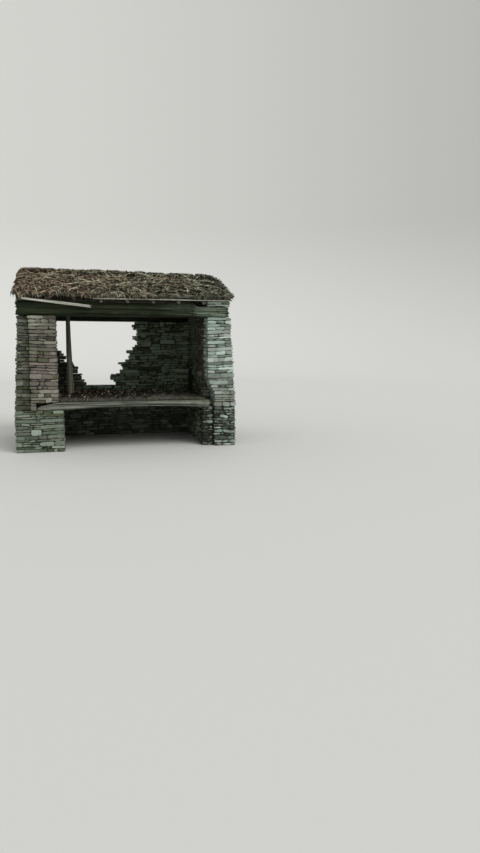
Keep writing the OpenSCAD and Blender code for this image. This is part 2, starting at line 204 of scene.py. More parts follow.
def block_grid(cells):
    """Surface points of a unit block cut in cells, its faces, and how many sides meet at each point."""
    if cells in block_cache:
        return block_cache[cells]
    index = {}
    points = []

    def point(cell):
        if cell not in index:
            index[cell] = len(points)
            points.append([cell[i] / cells[i] - 0.5 for i in range(3)])
        return index[cell]

    faces = []
    for axis in range(3):
        u, v = (axis + 1) % 3, (axis + 2) % 3
        for side in (0, cells[axis]):
            for i in range(cells[u]):
                for j in range(cells[v]):
                    corners = []
                    for du, dv in ((0, 0), (1, 0), (1, 1), (0, 1)):
                        cell = [0, 0, 0]
                        cell[axis] = side
                        cell[u] = i + du
                        cell[v] = j + dv
                        corners.append(point(tuple(cell)))
                    if side == 0:
                        corners.reverse()
                    faces.append(corners)
    grid = np.array(points)
    block_cache[cells] = (grid, np.array(faces), (np.abs(grid) > 0.499).sum(axis=1))
    return block_cache[cells]


class Gathering:
    """Points, faces and point colours of many small solids, joined into one piece at the end."""

    def __init__(self, seed):
        self.rng = np.random.default_rng(seed)
        self.points = []
        self.faces = []
        self.tones = []
        self.runs = []
        self.count = 0

    def add(self, points, faces, tones, runs=None):
        """Take in one solid; a run is a place along, round and through a timber."""
        tones = np.asarray(tones, dtype=float)
        if tones.ndim == 1:
            tones = np.tile(tones, (len(points), 1))
        self.points.append(points)
        self.faces.extend([[i + self.count for i in face] for face in faces])
        self.tones.append(tones)
        self.runs.append(np.zeros((len(points), 3)) if runs is None else runs)
        self.count += len(points)

    def piece(self, name, material, node, slot=None):
        """The joined mesh, riding on the root and standing for its node, if it has one."""
        mesh = bpy.data.meshes.new(name)
        mesh.from_pydata(np.vstack(self.points).tolist(), [], self.faces)
        layer = mesh.attributes.new("tone", "FLOAT_COLOR", "POINT")
        layer.data.foreach_set("color", np.vstack(self.tones).astype(np.float32).ravel())
        layer = mesh.attributes.new("run", "FLOAT_VECTOR", "POINT")
        layer.data.foreach_set("vector", np.vstack(self.runs).astype(np.float32).ravel())
        mesh.materials.append(material)
        made = bpy.data.objects.new(name, mesh)
        bpy.context.scene.collection.objects.link(made)
        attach(made, "root")
        if node:
            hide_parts(node)
        return made


def settled(points):
    """Courses that have sagged a little, but not at the ground, the sill or the lintel."""
    x, y, z = points[:, 0], points[:, 1], points[:, 2]
    free = np.clip(np.minimum(z, lintel_foot - z) / 0.3, 0, 1)
    free = free * np.clip(np.abs(z - sill_middle_z) / 0.3 - 0.25, 0, 1)
    wave = 0.011 * np.sin(2.3 * x + 1.7 * y + 1.9 * z) + 0.006 * np.sin(6.1 * x - 4.7 * y + 2.6 * z + 2)
    return points + np.stack([np.zeros_like(x), np.zeros_like(x), wave * free], axis=1)


def add_stone(work, centre, along, out, size, rough=1.0):
    """One split stone: its length along, its depth out of the wall, and its height."""
    rng = work.rng
    cells = (int(np.clip(round(size[0] / 0.062), 2, 7)), int(np.clip(round(size[1] / 0.09), 1, 3)),
             2 if size[2] < 0.075 else 3)
    grid, faces, sides = block_grid(cells)
    local = grid * size
    slack = rng.uniform(0.002, 0.006) * rough
    worn = np.where(sides == 1, 0.0, np.where(sides == 2, slack, slack * 2.2))
    local -= np.sign(grid) * (np.abs(grid) > 0.499) * worn[:, None]
    local += rng.normal(0, rough, local.shape) * np.array([0.004, 0.005, 0.0026])
    local[:, 2] += grid[:, 0] * rng.normal(0, 0.007 * rough)
    local[:, 1] += grid[:, 0] * rng.normal(0, 0.009 * rough) + grid[:, 2] * rng.normal(0, 0.006 * rough)
    local = np.clip(local, -np.array(size) / 2, np.array(size) / 2)
    world = np.array(centre) + local[:, :1] * along + local[:, 1:2] * out
    world[:, 2] += local[:, 2]
    if along[0] * out[1] - along[1] * out[0] < 0:
        faces = faces[:, ::-1]
    tone = [rng.beta(2.0, 2.2), rng.random(), rng.random() ** 2, 1.0]
    work.add(settled(world), faces.tolist(), tone)


def add_core(work, node, inset, fray):
    """Earth and rubble behind the facing: the solid, drawn in where it shows."""
    bm = welded(node)
    bm.verts.index_update()
    depths = {}
    for face in bm.faces:
        middle = face.calc_center_median()
        spots = [middle.lerp(v.co, share) + face.normal * 0.01 for v in face.verts for share in (0.0, 0.9)]
        meets = all(is_buried(spot, node) for spot in spots)
        broken = fray if abs(face.normal.x) > 0.5 and abs(middle.x) < broken_within_x else 0.0
        depths[face] = -0.004 if abs(face.normal.z) > 0.9 else (0.04 if meets else -inset - broken)
    points = []
    for vert in bm.verts:
        normals = []
        lengths = []
        for face in vert.link_faces:
            if all(face.normal.dot(n) < 0.999 for n in normals):
                normals.append(face.normal.copy())
                lengths.append(depths[face])
        shift = np.linalg.lstsq(np.array([list(n) for n in normals]), np.array(lengths), rcond=None)[0]
        points.append(np.array(vert.co) + shift)
    faces = [[v.index for v in face.verts] for face in bm.faces]
    work.add(np.array(points), faces, [0.0, 0.5, 0.0, 0.0])
    bm.free()


def free_spans(start, end, corner, heading, out, held):
    """The stretches of an edge that no tall stone of the course below fills."""
    blocks = []
    for low, high, side in held:
        if side.dot(out) < 0.98 or abs((low - corner).dot(out)) > 0.05:
            continue
        a, b = sorted(((low - corner).dot(heading), (high - corner).dot(heading)))
        blocks.append((a, b))
    spans = []
    for a, b in sorted(blocks):
        if b < start or a > end:
            continue
        spans.append((start, a))
        start = max(start, b)
    spans.append((start, end))
    return [(a, b) for a, b in spans if b - a > 0.02]


def bonded(loop, node, z, number, fray):
    """The outline as this course is laid: bonded with the walls it meets, and ragged at a broken end."""
    count = len(loop)
    sway = (1 if number % 2 else -1) * (0.35 + 0.65 * abs(math.sin(number * 12.99)))
    moved = []
    for i, corner in enumerate(loop):
        before = (corner - loop[i - 1]).normalized()
        after = (loop[(i + 1) % count] - corner).normalized()
        moved.append(corner.copy())
        if fray and abs(corner.x) < broken_within_x:
            moved[-1].x += fray * math.sin(number * 7.7 + (1 if corner.x < -0.2 else 0))
            continue
        arms = [(-before, Vector((before.y, -before.x))), (after, Vector((after.y, -after.x)))]
        probes = [corner + heading * 0.06 + side * 0.03 for heading, side in arms]
        hidden = [is_buried((probe.x, probe.y, z), node) for probe in probes]
        if hidden[0] == hidden[1]:
            continue
        heading, side = arms[1] if hidden[0] else arms[0]
        over = corner - heading * 0.06 + side * 0.03
        under = corner - heading * 0.06 - side * 0.03
        if is_buried((over.x, over.y, z), node):
            shift = -heading * 0.04
        elif is_buried((under.x, under.y, z), node):
            shift = heading * sway * (0.1 if heading.x + 0.7 * heading.y > 0 else -0.1)
        else:
            continue
        unseen = -before if hidden[0] else after
        run = corner - loop[i - 1] if hidden[0] else loop[(i + 1) % count] - corner
        tuck = corner + unseen * min(0.17, run.length * 0.4)
        moved.pop()
        moved += [tuck, tuck + shift, corner + shift][::1 if hidden[0] else -1]
    return moved


def lay_round(work, node, loop, foot, top, number, depth, rise_above, held, rough):
    """One course round one outline: corner stones first, then the runs between."""
    rng = work.rng
    count = len(loop)
    middle_z = (foot + top) / 2
    edges = [loop[(i + 1) % count] - corner for i, corner in enumerate(loop)]
    used = [[0.0, 0.0] for _ in range(count)]
    parting = rng.uniform(0.3, 0.7, count)
    for i, after in enumerate(edges):
        before = edges[i - 1]
        if before.cross(after) <= 0 or before.length < 0.06 or after.length < 0.06:
            continue
        reach = [rng.uniform(0.24, 0.46), rng.uniform(0.12, 0.2)]
        if (number + i) % 2:
            reach.reverse()
        used[i - 1][1] = min(reach[0], before.length * (1 - parting[i - 1] if before.length > 0.2 else 1.0))
        used[i][0] = min(reach[1], after.length * (parting[i] if after.length > 0.2 else 1.0))
    for (start, end), ends, edge in zip(used, used, edges):
        if start and end and 0 < edge.length - start - end < 0.08:
            ends[0] = edge.length - end
    for i, corner in enumerate(loop):
        before, after = edges[i - 1], edges[i]
        a, b = used[i - 1][1], used[i][0]
        if not a or not b:
            continue
        back, ahead = -before.normalized(), after.normalized()
        shy = rng.uniform(0.0, 0.02)
        centre = corner + back * (a / 2 + shy) + ahead * (b / 2 + shy)
        middle = Vector((centre.x, centre.y, middle_z))
        sides = ((Vector((before.y, -before.x, 0)).normalized(), b),
                 (Vector((after.y, -after.x, 0)).normalized(), a))
        if all(is_buried(middle + side * (far / 2 + 0.03), node) for side, far in sides):
            continue
        add_stone(work, middle, np.array((back.x, back.y, 0)), np.array((-ahead.x, -ahead.y, 0)),
                  (a - joint, b - joint, top - foot - joint * 0.7), rough)
    raised = []
    for i, (corner, edge) in enumerate(zip(loop, edges)):
        if edge.length < 0.05:
            continue
        heading = edge.normalized()
        out = Vector((heading.y, -heading.x))
        for at, end in free_spans(used[i][0], edge.length - used[i][1], corner, heading, out, held):
            while end - at > 0.02:
                width = rng.choice([0.1, 0.16, 0.24, 0.36], p=[0.2, 0.35, 0.3, 0.15]) * rng.uniform(0.8, 1.25)
                width = end - at if end - at - width < 0.07 else width
                shy = rng.uniform(0.0, 0.018) if rng.random() > 0.12 else rng.uniform(0.018, 0.03)
                centre = corner + heading * (at + width / 2) - out * (depth / 2 + shy)
                low_end = corner + heading * at
                probes = [low_end + heading * width * share + out * 0.03 for share in (0.5, 0.1, 0.9)]
                at += width
                if all(is_buried((probe.x, probe.y, middle_z), node) for probe in probes):
                    continue
                lift = 0.0
                pieces = [(foot, top)]
                if rise_above and width > 0.12 and rng.random() < 0.1:
                    lift = rise_above
                    pieces = [(foot, top + lift)]
                    raised.append((low_end, low_end + heading * width, out))
                elif top - foot > 0.046 and rng.random() < 0.3:
                    cut = foot + (top - foot) * rng.uniform(0.35, 0.65)
                    pieces = [(foot, cut), (cut, top)]
                for low, high in pieces:
                    size = (max(width - joint, 0.02), depth, max(high - low - joint * 0.7, 0.01))
                    add_stone(work, (centre.x, centre.y, (low + high) / 2),
                              np.array((heading.x, heading.y, 0)), np.array((out.x, out.y, 0)), size, rough)
    return raised


def face_wall(node, courses, depth, seed, material, rough=1.0, fray=0.0):
    """Stones round every outline of the wall, course by course, over its core."""
    work = Gathering(seed)
    bm = welded(node)
    low, high = wall_boxes[node]
    breaks = level_breaks()
    held = []
    laid = [(max(a, low.z), min(b, high.z)) for a, b in courses]
    laid = [(n, a, b) for n, (a, b) in enumerate(laid) if b - a > 0.012]
    for (number, foot, top), above in zip(laid, laid[1:] + [None]):
        plain = above is None or any(abs(top - level) < 0.002 for level in breaks)
        rise_above = 0.0 if plain else above[2] - above[1]
        raised = []
        for outline in section_loops(bm, (foot + top) / 2):
            loop = bonded(outline, node, (foot + top) / 2, number, fray)
            raised += lay_round(work, node, loop, foot, top, number, depth, rise_above, held, rough)
        held = raised
    bm.free()
    add_core(work, node, core_inset, fray)
    return work.piece(node + "_stones", material, node)


def shade(red, green, blue):
    """A paint colour given as 0 to 255, as the shader's own numbers."""
    linear = [c / 255 / 12.92 if c <= 10 else ((c / 255 + 0.055) / 1.055) ** 2.4 for c in (red, green, blue)]
    return (*linear, 1.0)


class Paint:
    """A material on the common shader, with short ways to add its nodes."""

    def __init__(self, name, roughness):
        self.material = bpy.data.materials.new(name)
        self.material.use_nodes = True
        self.tree = self.material.node_tree
        self.shader = self.tree.nodes["Principled BSDF"]
        self.shader.inputs["Roughness"].default_value = roughness
        self.shader.inputs["Specular IOR Level"].default_value = 0.25

    def set_input(self, socket, value):
        if hasattr(value, "is_linked"):
            self.tree.links.new(value, socket)
        else:
            socket.default_value = value

    def attribute(self, name):
        node = self.tree.nodes.new("ShaderNodeAttribute")
        node.attribute_name = name
        return node

    def tones(self):
        """The red, green, blue and alpha of the tone colours."""
        node = self.attribute("tone")
        parts = self.tree.nodes.new("ShaderNodeSeparateColor")
        self.tree.links.new(node.outputs["Color"], parts.inputs["Color"])
        return (*[parts.outputs[i] for i in range(3)], node.outputs["Alpha"])

    def place(self):
        return self.tree.nodes.new("ShaderNodeTexCoord").outputs["Object"]

    def noise(self, where, stretch, scale, detail=5.0, rough=0.6):
        """Noise from 0 to 1 over a place that is stretched first."""
        flat = self.tree.nodes.new("ShaderNodeMapping")
        flat.inputs["Scale"].default_value = stretch
        self.tree.links.new(where, flat.inputs["Vector"])
        node = self.tree.nodes.new("ShaderNodeTexNoise")
        node.inputs["Scale"].default_value = scale
        node.inputs["Detail"].default_value = detail
        node.inputs["Roughness"].default_value = rough
        self.tree.links.new(flat.outputs["Vector"], node.inputs["Vector"])
        return node.outputs["Fac"]

    def spot(self, where, centre, reach):
        """A soft patch: 1 at its centre, falling to 0 at its reach along each axis."""
        moved = self.tree.nodes.new("ShaderNodeMapping")
        moved.inputs["Location"].default_value = [-c / r for c, r in zip(centre, reach)]
        moved.inputs["Scale"].default_value = [1 / r for r in reach]
        self.tree.links.new(where, moved.inputs["Vector"])
        ball = self.tree.nodes.new("ShaderNodeTexGradient")
        ball.gradient_type = "SPHERICAL"
        self.tree.links.new(moved.outputs["Vector"], ball.inputs["Vector"])
        return self.span(ball.outputs["Fac"], 0.0, 0.5)

    def math(self, kind, a, b, c=0.0):
        node = self.tree.nodes.new("ShaderNodeMath")
        node.operation = kind
        for socket, value in zip(node.inputs, (a, b, c)):
            self.set_input(socket, value)
        return node.outputs[0]

    def span(self, value, low, high, start=0.0, end=1.0):
        node = self.tree.nodes.new("ShaderNodeMapRange")
        for key, number in (("From Min", low), ("From Max", high), ("To Min", start), ("To Max", end)):
            node.inputs[key].default_value = number
        self.tree.links.new(value, node.inputs["Value"])
        return node.outputs["Result"]

    def ramp(self, value, *colours):
        node = self.tree.nodes.new("ShaderNodeValToRGB")
        node.color_ramp.elements[0].color = colours[0]
        node.color_ramp.elements[1].color = colours[-1]
        for i, colour in enumerate(colours[1:-1]):
            node.color_ramp.elements.new((i + 1) / (len(colours) - 1)).color = colour
        self.tree.links.new(value, node.inputs["Fac"])
        return node.outputs["Color"]

    def mix(self, share, a, b, blend="MIX"):
        node = self.tree.nodes.new("ShaderNodeMix")
        node.data_type = "RGBA"
        node.blend_type = blend
        for key, value in (("Factor", share), ("A", a), ("B", b)):
            sockets = [s for s in node.inputs if s.name == key and (key != "Factor" or s.type == "VALUE")]
            socket = next(s for s in sockets if key == "Factor" or s.type == "RGBA")
            self.set_input(socket, value)
        return next(s for s in node.outputs if s.type == "RGBA")

    def bump(self, height, strength, distance, under=None):
        node = self.tree.nodes.new("ShaderNodeBump")
        node.inputs["Strength"].default_value = strength
        node.inputs["Distance"].default_value = distance
        self.tree.links.new(height, node.inputs["Height"])
        if under is not None:
            self.tree.links.new(under, node.inputs["Normal"])
        return node.outputs["Normal"]

    def finish(self, colour, normal=None):
        self.set_input(self.shader.inputs["Base Color"], colour)
        if normal is not None:
            self.tree.links.new(normal, self.shader.inputs["Normal"])
        return self.material


def schist(name, dark, middle, pale, tint, stain, stain_share, patches_of=()):
    """Weathered schist: a tone for each stone, fine laminae, grain, stain and pale specks."""
    paint = Paint(name, 0.9)
    light, hue, damp, facing = paint.tones()
    where = paint.place()
    laminae = paint.noise(where, (7, 7, 75), 1.6, 6, 0.65)
    grain = paint.noise(where, (1, 1, 1), 46, 7, 0.7)
    patches = paint.noise(where, (1, 1, 1), 3.2, 5, 0.6)
    level = paint.math("SUBTRACT", paint.math("MULTIPLY_ADD", laminae, 0.8, light), 0.4)
    colour = paint.ramp(level, dark, middle, pale)
    colour = paint.mix(paint.span(hue, 0.5, 1.0, 0.0, 0.55), colour, tint)
    # Each patch tints the stones round a place: in some it is the stones' own colour, in others painted light
    # or painted shade.
    for centre, reach, cast, share in patches_of:
        mask = paint.math("MULTIPLY", paint.spot(where, centre, reach),
                          paint.span(patches, 0.25, 0.55, 0.3, share))
        colour = paint.mix(mask, colour, paint.mix(0.6, colour, cast))
    wet = paint.math("MULTIPLY_ADD", damp, 0.35, patches)
    edge = 0.8 - stain_share * 0.5
    colour = paint.mix(paint.span(wet, edge, edge + 0.2), colour, stain)
    colour = paint.mix(paint.span(grain, 0.58, 0.72, 0.0, 0.5), colour, pale)
    colour = paint.mix(paint.span(grain, 0.44, 0.3, 0.0, 0.6), colour, dark)
    colour = paint.mix(facing, shade(44, 42, 34), colour)
    return paint.finish(colour, paint.bump(grain, 0.45, 0.006, paint.bump(laminae, 0.7, 0.012)))


courses = lay_courses(random.Random(7))
base_schist = schist("base_schist", shade(60, 67, 56), shade(117, 130, 114), shade(163, 175, 158),
                     shade(116, 112, 100), shade(80, 88, 62), 0.3)
undercroft_schist = schist("undercroft_schist", shade(52, 60, 51), shade(100, 112, 98), shade(148, 158, 144),
                           shade(104, 100, 88), shade(70, 79, 58), 0.4)
face_wall("left_pier_base", courses, facing_depth, 101, base_schist)
face_wall("left_base_wall", courses, facing_depth, 102, undercroft_schist)
face_wall("right_base_wall", courses, facing_depth, 103, undercroft_schist)
face_wall("rear_base_wall", courses, facing_depth, 104, undercroft_schist)

# The right pier, from the broken lower corner to the lintel's end.
# Pale grey split schist above; below, where the inner edge has fallen, rough
# rubble, with painted shade darkening it beside the undercroft. Laid dry, and
# leaning inwards.
pale_schist = schist("pale_schist", shade(86, 96, 88), shade(157, 176, 163), shade(212, 230, 216),
                     shade(158, 150, 148), shade(124, 134, 114), 0.15,
                     [((1.8, -1.4, 1.15), (0.6, 0.6, 0.5), shade(100, 92, 84), 0.9)])
# Two overlapping near black patches are painted shade on the inner corner beside the undercroft.
rubble_schist = schist("rubble_schist", shade(43, 49, 43), shade(132, 149, 137), shade(207, 224, 212),
                       shade(98, 88, 82), shade(64, 70, 54), 0.3,
                       [((1.45, -1.2, 0.45), (reach, 0.9, 1.2), shade(6, 12, 9), 1.0)
                        for reach in (0.3, 0.22)])
face_wall("right_pier", courses, facing_depth, 105, pale_schist)
face_wall("right_pier_base", courses, facing_depth, 106, rubble_schist, rough=2.2)

# The left pier, on the left end of the sill beam.
# The neatest stonework of the front: thin warm grey schist, with a patch of
# mauve stones half way up and brighter ones under the lintel.
warm_schist = schist("warm_schist", shade(58, 58, 51), shade(114, 114, 101), shade(160, 160, 146),
                     shade(122, 112, 100), shade(84, 88, 64), 0.2,
                     [((-1.65, -1.4, 1.62), (0.7, 0.7, 0.45), shade(126, 108, 110), 0.75),
                      ((-1.86, -1.4, 2.55), (0.35, 0.6, 0.2), shade(178, 180, 164), 1.0)])
face_wall("left_pier", courses, facing_depth, 107, warm_schist)

# The gable walls behind the piers and the broken rear wall.
# The same schist, half of it stained by moss; they stand between the front
# piers and the rear corners, and the rear one has fallen in steps.
# A pale green patch is painted light, lightening the stones round the inside of the house.
wall_schist = schist("wall_schist", shade(46, 50, 40), shade(92, 98, 84), shade(138, 143, 128),
                     shade(98, 90, 78), shade(64, 70, 48), 0.42,
                     [((0.5, 0.6, 1.9), (2.1, 1.2, 1.9), shade(149, 171, 141), 1.0)])
face_wall("left_side_wall", courses, facing_depth, 108, wall_schist)
face_wall("right_side_wall", courses, facing_depth, 109, wall_schist)
rear_facing_depth = 0.235
for seed, node in ((110, "rear_wall"), (111, "rear_wall_stub")):
    face_wall(node, courses, rear_facing_depth, seed, wall_schist, rough=1.3, fray=0.06)

# The flat stones between the lintel ends and the roof.
# Thin slabs of schist bedded level, to pack the corners up to the slates.
packing_depth = 0.12
face_wall("left_packing_stones", courses, packing_depth, 112, wall_schist)
face_wall("right_packing_stones", courses, packing_depth, 113, pale_schist)

# The sill beam and the floor beams.
# Squared trunks of oak gone silver grey, split along the grain; the sill is
# hollowed below and its left end is worn to a wedge under the left pier.


def rounded_outline(width, height, radius, count=240):
    """Points round a rectangle with rounded corners, evenly spaced, with their normals."""
    points = []
    for cx, cy, start in ((1, 1, 0), (-1, 1, 90), (-1, -1, 180), (1, -1, 270)):
        for turn in range(0, 91, 15):
            a = math.radians(start + turn)
            points.append(((width / 2 - radius) * cx + radius * math.cos(a),
                           (height / 2 - radius) * cy + radius * math.sin(a)))
    ring = np.array(points + points[:1])
    steps = np.concatenate([[0], np.cumsum(np.linalg.norm(np.diff(ring, axis=0), axis=1))])
    places = np.linspace(0, steps[-1], count, endpoint=False)
    even = np.stack([np.interp(places, steps, ring[:, i]) for i in range(2)], axis=1)
    tangent = np.roll(even, -1, axis=0) - np.roll(even, 1, axis=0)
    tangent /= np.linalg.norm(tangent, axis=1)[:, None]
    return steps[-1], even, np.stack([tangent[:, 1], -tangent[:, 0]], axis=1)


def waves(rng, count, scale):
    """Sums of sines: frequencies, directions and phases for a smooth field on two axes."""
    return [(rng.normal(0, scale[0]), rng.normal(0, scale[1]), rng.uniform(0, 6.3)) for _ in range(count)]


def field(terms, a, b):
    return sum(np.sin(p * a + q * b + r) for p, q, r in terms) / len(terms) ** 0.5


def add_timber(work, start, along, side, length, section, ring, step, hewn=0.004, cracks=0, crack_depth=0.014,
               ragged=0.008, radius=0.02, light=None, bleach=None, knots=0, adze=0.0, crook=0.0, wound=None,
               open_by_mm=(1.5, 4), long_cracks=()):
    """One timber. section(t) gives its low and high edge across and its low and high edge up at t."""
    rng = work.rng
    along, side = Vector(along).normalized(), Vector(side).normalized()
    up = along.cross(side) * -1 if along.cross(side).dot(Vector((0, 0, -1))) > 0 else along.cross(side)
    mid = section(length / 2)
    width, height = mid[1] - mid[0], mid[3] - mid[2]
    around, even, normal = rounded_outline(width, height, min(radius, width * 0.499, height * 0.499))
    places = list(np.arange(0, around, around / ring))
    splits = []
    for u, v, low, high, deep, half in long_cracks:
        s = int(np.argmin(np.linalg.norm(even - [u, v], axis=1))) * around / len(even)
        splits.append((s, low, high, deep, half, waves(rng, 3, (2.0, 0))))
    for _ in range(cracks):
        s = rng.uniform(0, around)
        if any(min(abs(s - o[0]), around - abs(s - o[0])) < 0.022 for o in splits):
            continue
        reach = length * rng.uniform(0.12, 0.45)
        middle = rng.uniform(0, length)
        splits.append((s, middle - reach, middle + reach, crack_depth * rng.uniform(0.4, 1.0),
                       rng.uniform(*open_by_mm) / 1000, waves(rng, 3, (2.5, 0))))
    kinds = [(s, -1, 0.0) for s in places
             if all(min(abs(s - o[0]), around - abs(s - o[0])) > 0.008 for o in splits)]
    for number, (s, low, high, deep, half, wander) in enumerate(splits):
        kinds += [((s - half) % around, number, 0.0), (s, number, 1.0), ((s + half) % around, number, 0.0)]
    kinds.sort()
    base_s = np.array([k[0] for k in kinds])
    owner = np.array([k[1] for k in kinds])
    heart = np.array([k[2] for k in kinds])
    count = len(kinds)
    stops = np.linspace(0, length, max(int(length / step), 4) + 1)
    lumps = waves(rng, 7, (3.0, 9.0))
    fibres = waves(rng, 9, (4.0, 260.0))
    fine = waves(rng, 9, (14.0, 420.0))
    bows = waves(rng, 2, (1.5, 0)), waves(rng, 2, (1.5, 0))
    marks = [(rng.uniform(0, around), rng.uniform(0, length), rng.uniform(0.02, 0.035)) for _ in range(knots)]
    light = rng.uniform(0.3, 0.7) if light is None else light
    offset = rng.uniform(0, 50)
    phase = rng.uniform(0, 1, 4)
    end_shape = [rng.normal(0, 1, count), rng.normal(0, 1, count)]
    points, tones, runs = [], [], []
    step_of = around / len(even)
    for t in stops:
        s = base_s.copy()
        dip = np.zeros(count)
        shadow = np.zeros(count)
        for number, (_, low, high, deep, _, wander) in enumerate(splits):
            mine = owner == number
            s[mine] += 0.006 * field(wander, t, 0)
            open_by = np.clip(1 - abs(2 * (t - low) / (high - low) - 1) ** 3, 0, 1) if low < t < high else 0.0
            dip[mine] += heart[mine] * deep * open_by
            shadow[mine] += heart[mine] * open_by
        s %= around
        place = s / step_of
        first = np.floor(place).astype(int) % len(even)
        share = (place % 1)[:, None]
        flat = even[first] * (1 - share) + even[(first + 1) % len(even)] * share
        inward = -normal[first]
        dip += hewn * (0.5 + 0.5 * np.clip(field(lumps, t, s), -1, 1))
        dip += 0.0016 * (1 + field(fibres, t, s)) + 0.0008 * (1 + field(fine, t, s))
        if adze:
            face = (np.abs(inward[:, 1]) > 0.7).astype(int) + 2 * (s > around / 2)
            dip += adze * np.abs(np.sin(math.pi * (t / 0.11 + phase[face] + 0.6 * np.sin(9 * s))))
        for ks, kt, size in marks:
            away = np.minimum(np.abs(s - ks), around - np.abs(s - ks))
            bulge = np.exp(-(away ** 2 + (t - kt) ** 2) / (2 * size ** 2))
            dip -= np.minimum(bulge * 0.006, hewn + 0.002)
        u0, u1, v0, v1 = section(t)
        edge = np.maximum(0, 1 - min(t, length - t) / (1.5 * step))
        dip += 0.006 * edge
        local = flat * [(u1 - u0) / width, (v1 - v0) / height]
        local += [(u0 + u1) / 2 + crook * field(bows[0], t, 0), (v0 + v1) / 2 + crook * field(bows[1], t, 0)]
        lost = wound(t, local) if wound else np.zeros(count)
        local += inward * dip[:, None] + np.sign([(u0 + u1) / 2, (v0 + v1) / 2] - local) * lost[:, None]
        shape = end_shape[0] if t < length / 2 else end_shape[1]
        pull = edge * ragged * np.clip(0.8 + 0.5 * shape, 0, 2) * (1 if t < length / 2 else -1)
        points.append((t + pull)[:, None] * np.array(along) + local[:, :1] * np.array(side)
                      + local[:, 1:] * np.array(up))
        # Bleached wood, and a painted highlight where a wound has split an edge away.
        pale = np.maximum(bleach(t) if bleach else 0.0, np.clip(lost / 0.008, 0, 1))
        tones.append(np.stack([np.full(count, light), pale, np.zeros(count), 1 - shadow], 1))
        runs.append(np.stack([np.full(count, t) + offset, s + offset, np.zeros(count)], 1))
    faces = []
    for j in range(len(stops) - 1):
        a, b = j * count, (j + 1) * count
        faces += [[a + i, a + (i + 1) % count, b + (i + 1) % count, b + i] for i in range(count)]
    total = count * len(stops)
    for last, sign in ((0, 1), (len(stops) - 1, -1)):
        rim = points[last]
        heart_point = rim.mean(axis=0)
        smooth = sum(np.roll(rim, k, axis=0) for k in range(-3, 4)) / 7
        rings = [last * count]
        for scale, hollow in ((0.72, 0.004), (0.36, 0.007)):
            outer = (smooth + rim) / 2 if scale > 0.5 else smooth
            inner = heart_point + (outer - heart_point) * scale
            inner += np.array(along) * sign * (hollow + rng.normal(0, 0.0015, (count, 1)))
            rings.append(total)
            points.append(inner)
            tones.append(np.tile([light, 0.2, 1.0, 0.85], (count, 1)))
            radial = np.full(count, 0.9 * scale)
            runs.append(np.stack([radial + offset, base_s * 0.2 + offset, radial], 1))
            total += count
        for a, b in zip(rings, rings[1:]):
            strip = [[a + i, b + i, b + (i + 1) % count, a + (i + 1) % count] for i in range(count)]
            faces += strip if sign > 0 else [f[::-1] for f in strip]
        points.append(heart_point[None] + np.array(along) * sign * 0.008)
        tones.append(np.array([[light, 0.2, 1.0, 0.6]]))
        runs.append(np.array([[offset, offset, 0.0]]))
        fan = [[rings[-1] + i, total, rings[-1] + (i + 1) % count] for i in range(count)]
        faces += fan if sign > 0 else [f[::-1] for f in fan]
        total += 1
    world = np.vstack(points) + np.array(start)
    if np.cross(np.array(side), np.array(up)).dot(np.array(along)) < 0:
        faces = [f[::-1] for f in faces]
    work.add(world, faces, np.vstack(tones), np.vstack(runs))


def wood(name, dark, middle, pale, bleached, stain, stain_share, fibre=55.0):
    """Bare weathered timber: fibres along the run, open cracks, stains, and a bleached share, which also
    holds a painted highlight on split edges.
    """
    paint = Paint(name, 0.85)
    light, bleach, end_grain, open_shade = paint.tones()
    run = paint.attribute("run").outputs["Vector"]
    where = paint.place()
    fibres = paint.noise(run, (1.1, fibre, fibre), 1.0, 8, 0.7)
    streaks = paint.noise(run, (0.7, 14, 14), 1.0, 4, 0.6)
    patches = paint.noise(where, (1, 1, 1), 4.5, 5, 0.65)
    level = paint.math("MULTIPLY_ADD", paint.span(streaks, 0.36, 0.64), 0.5,
                       paint.math("MULTIPLY", paint.span(fibres, 0.3, 0.7), 0.4))
    level = paint.math("ADD", level, paint.math("MULTIPLY_ADD", light, 0.5, -0.2))
    colour = paint.ramp(level, dark, middle, pale)
    silvered = paint.mix(paint.span(fibres, 0.4, 0.6), middle, bleached)
    faded = paint.mix(paint.span(streaks, 0.36, 0.6), middle, silvered)
    share = paint.math("MULTIPLY", bleach, paint.span(patches, 0.3, 0.5))
    colour = paint.mix(share, colour, faded)
    edge = 0.72 - stain_share * 0.45
    colour = paint.mix(paint.span(patches, edge, edge + 0.16, 0.0, 0.85), colour, stain)
    colour = paint.mix(paint.span(open_shade, 1.0, 0.2, 0.0, 0.9), colour, shade(16, 15, 11))
    sawn = paint.mix(paint.span(fibres, 0.3, 0.7), dark, pale)
    colour = paint.mix(paint.math("MULTIPLY", end_grain, 0.7), colour, sawn)
    bumps = paint.bump(fibres, 0.6, 0.005, paint.bump(streaks, 0.5, 0.008))
    return paint.finish(colour, bumps)


silver_oak = wood("silver_oak", shade(26, 27, 21), shade(88, 92, 80), shade(152, 155, 142),
                  shade(158, 160, 148), shade(60, 60, 44), 0.35)


sill_left, sill_length = -1.79, 3.45
sill_front, sill_back, sill_foot = -1.43, -1.17, 0.82
hollow_from, hollow_to, hollow_rise = -1.27, 1.49, 0.04
wedge_x = (sill_left, -1.715, -1.426)
wedge_top = (0.865, 0.907, 0.97)


def sill_section(t):
    """The sill's edges at a distance from its left end, as its solid has them."""
    x = sill_left + t
    low = sill_foot
    if hollow_from < x < hollow_to:
        low += hollow_rise * math.sin(math.pi * (x - hollow_from) / (hollow_to - hollow_from))
    return sill_front, sill_back, low, float(np.interp(x, wedge_x, wedge_top))


def sill_bleach(t):
    """Bare at the right end, less so at the left end, and fading to nothing between them."""
    return max(0.0, 0.7 - t / 2.4, min(1.0, (t - 1.9) / 0.8))


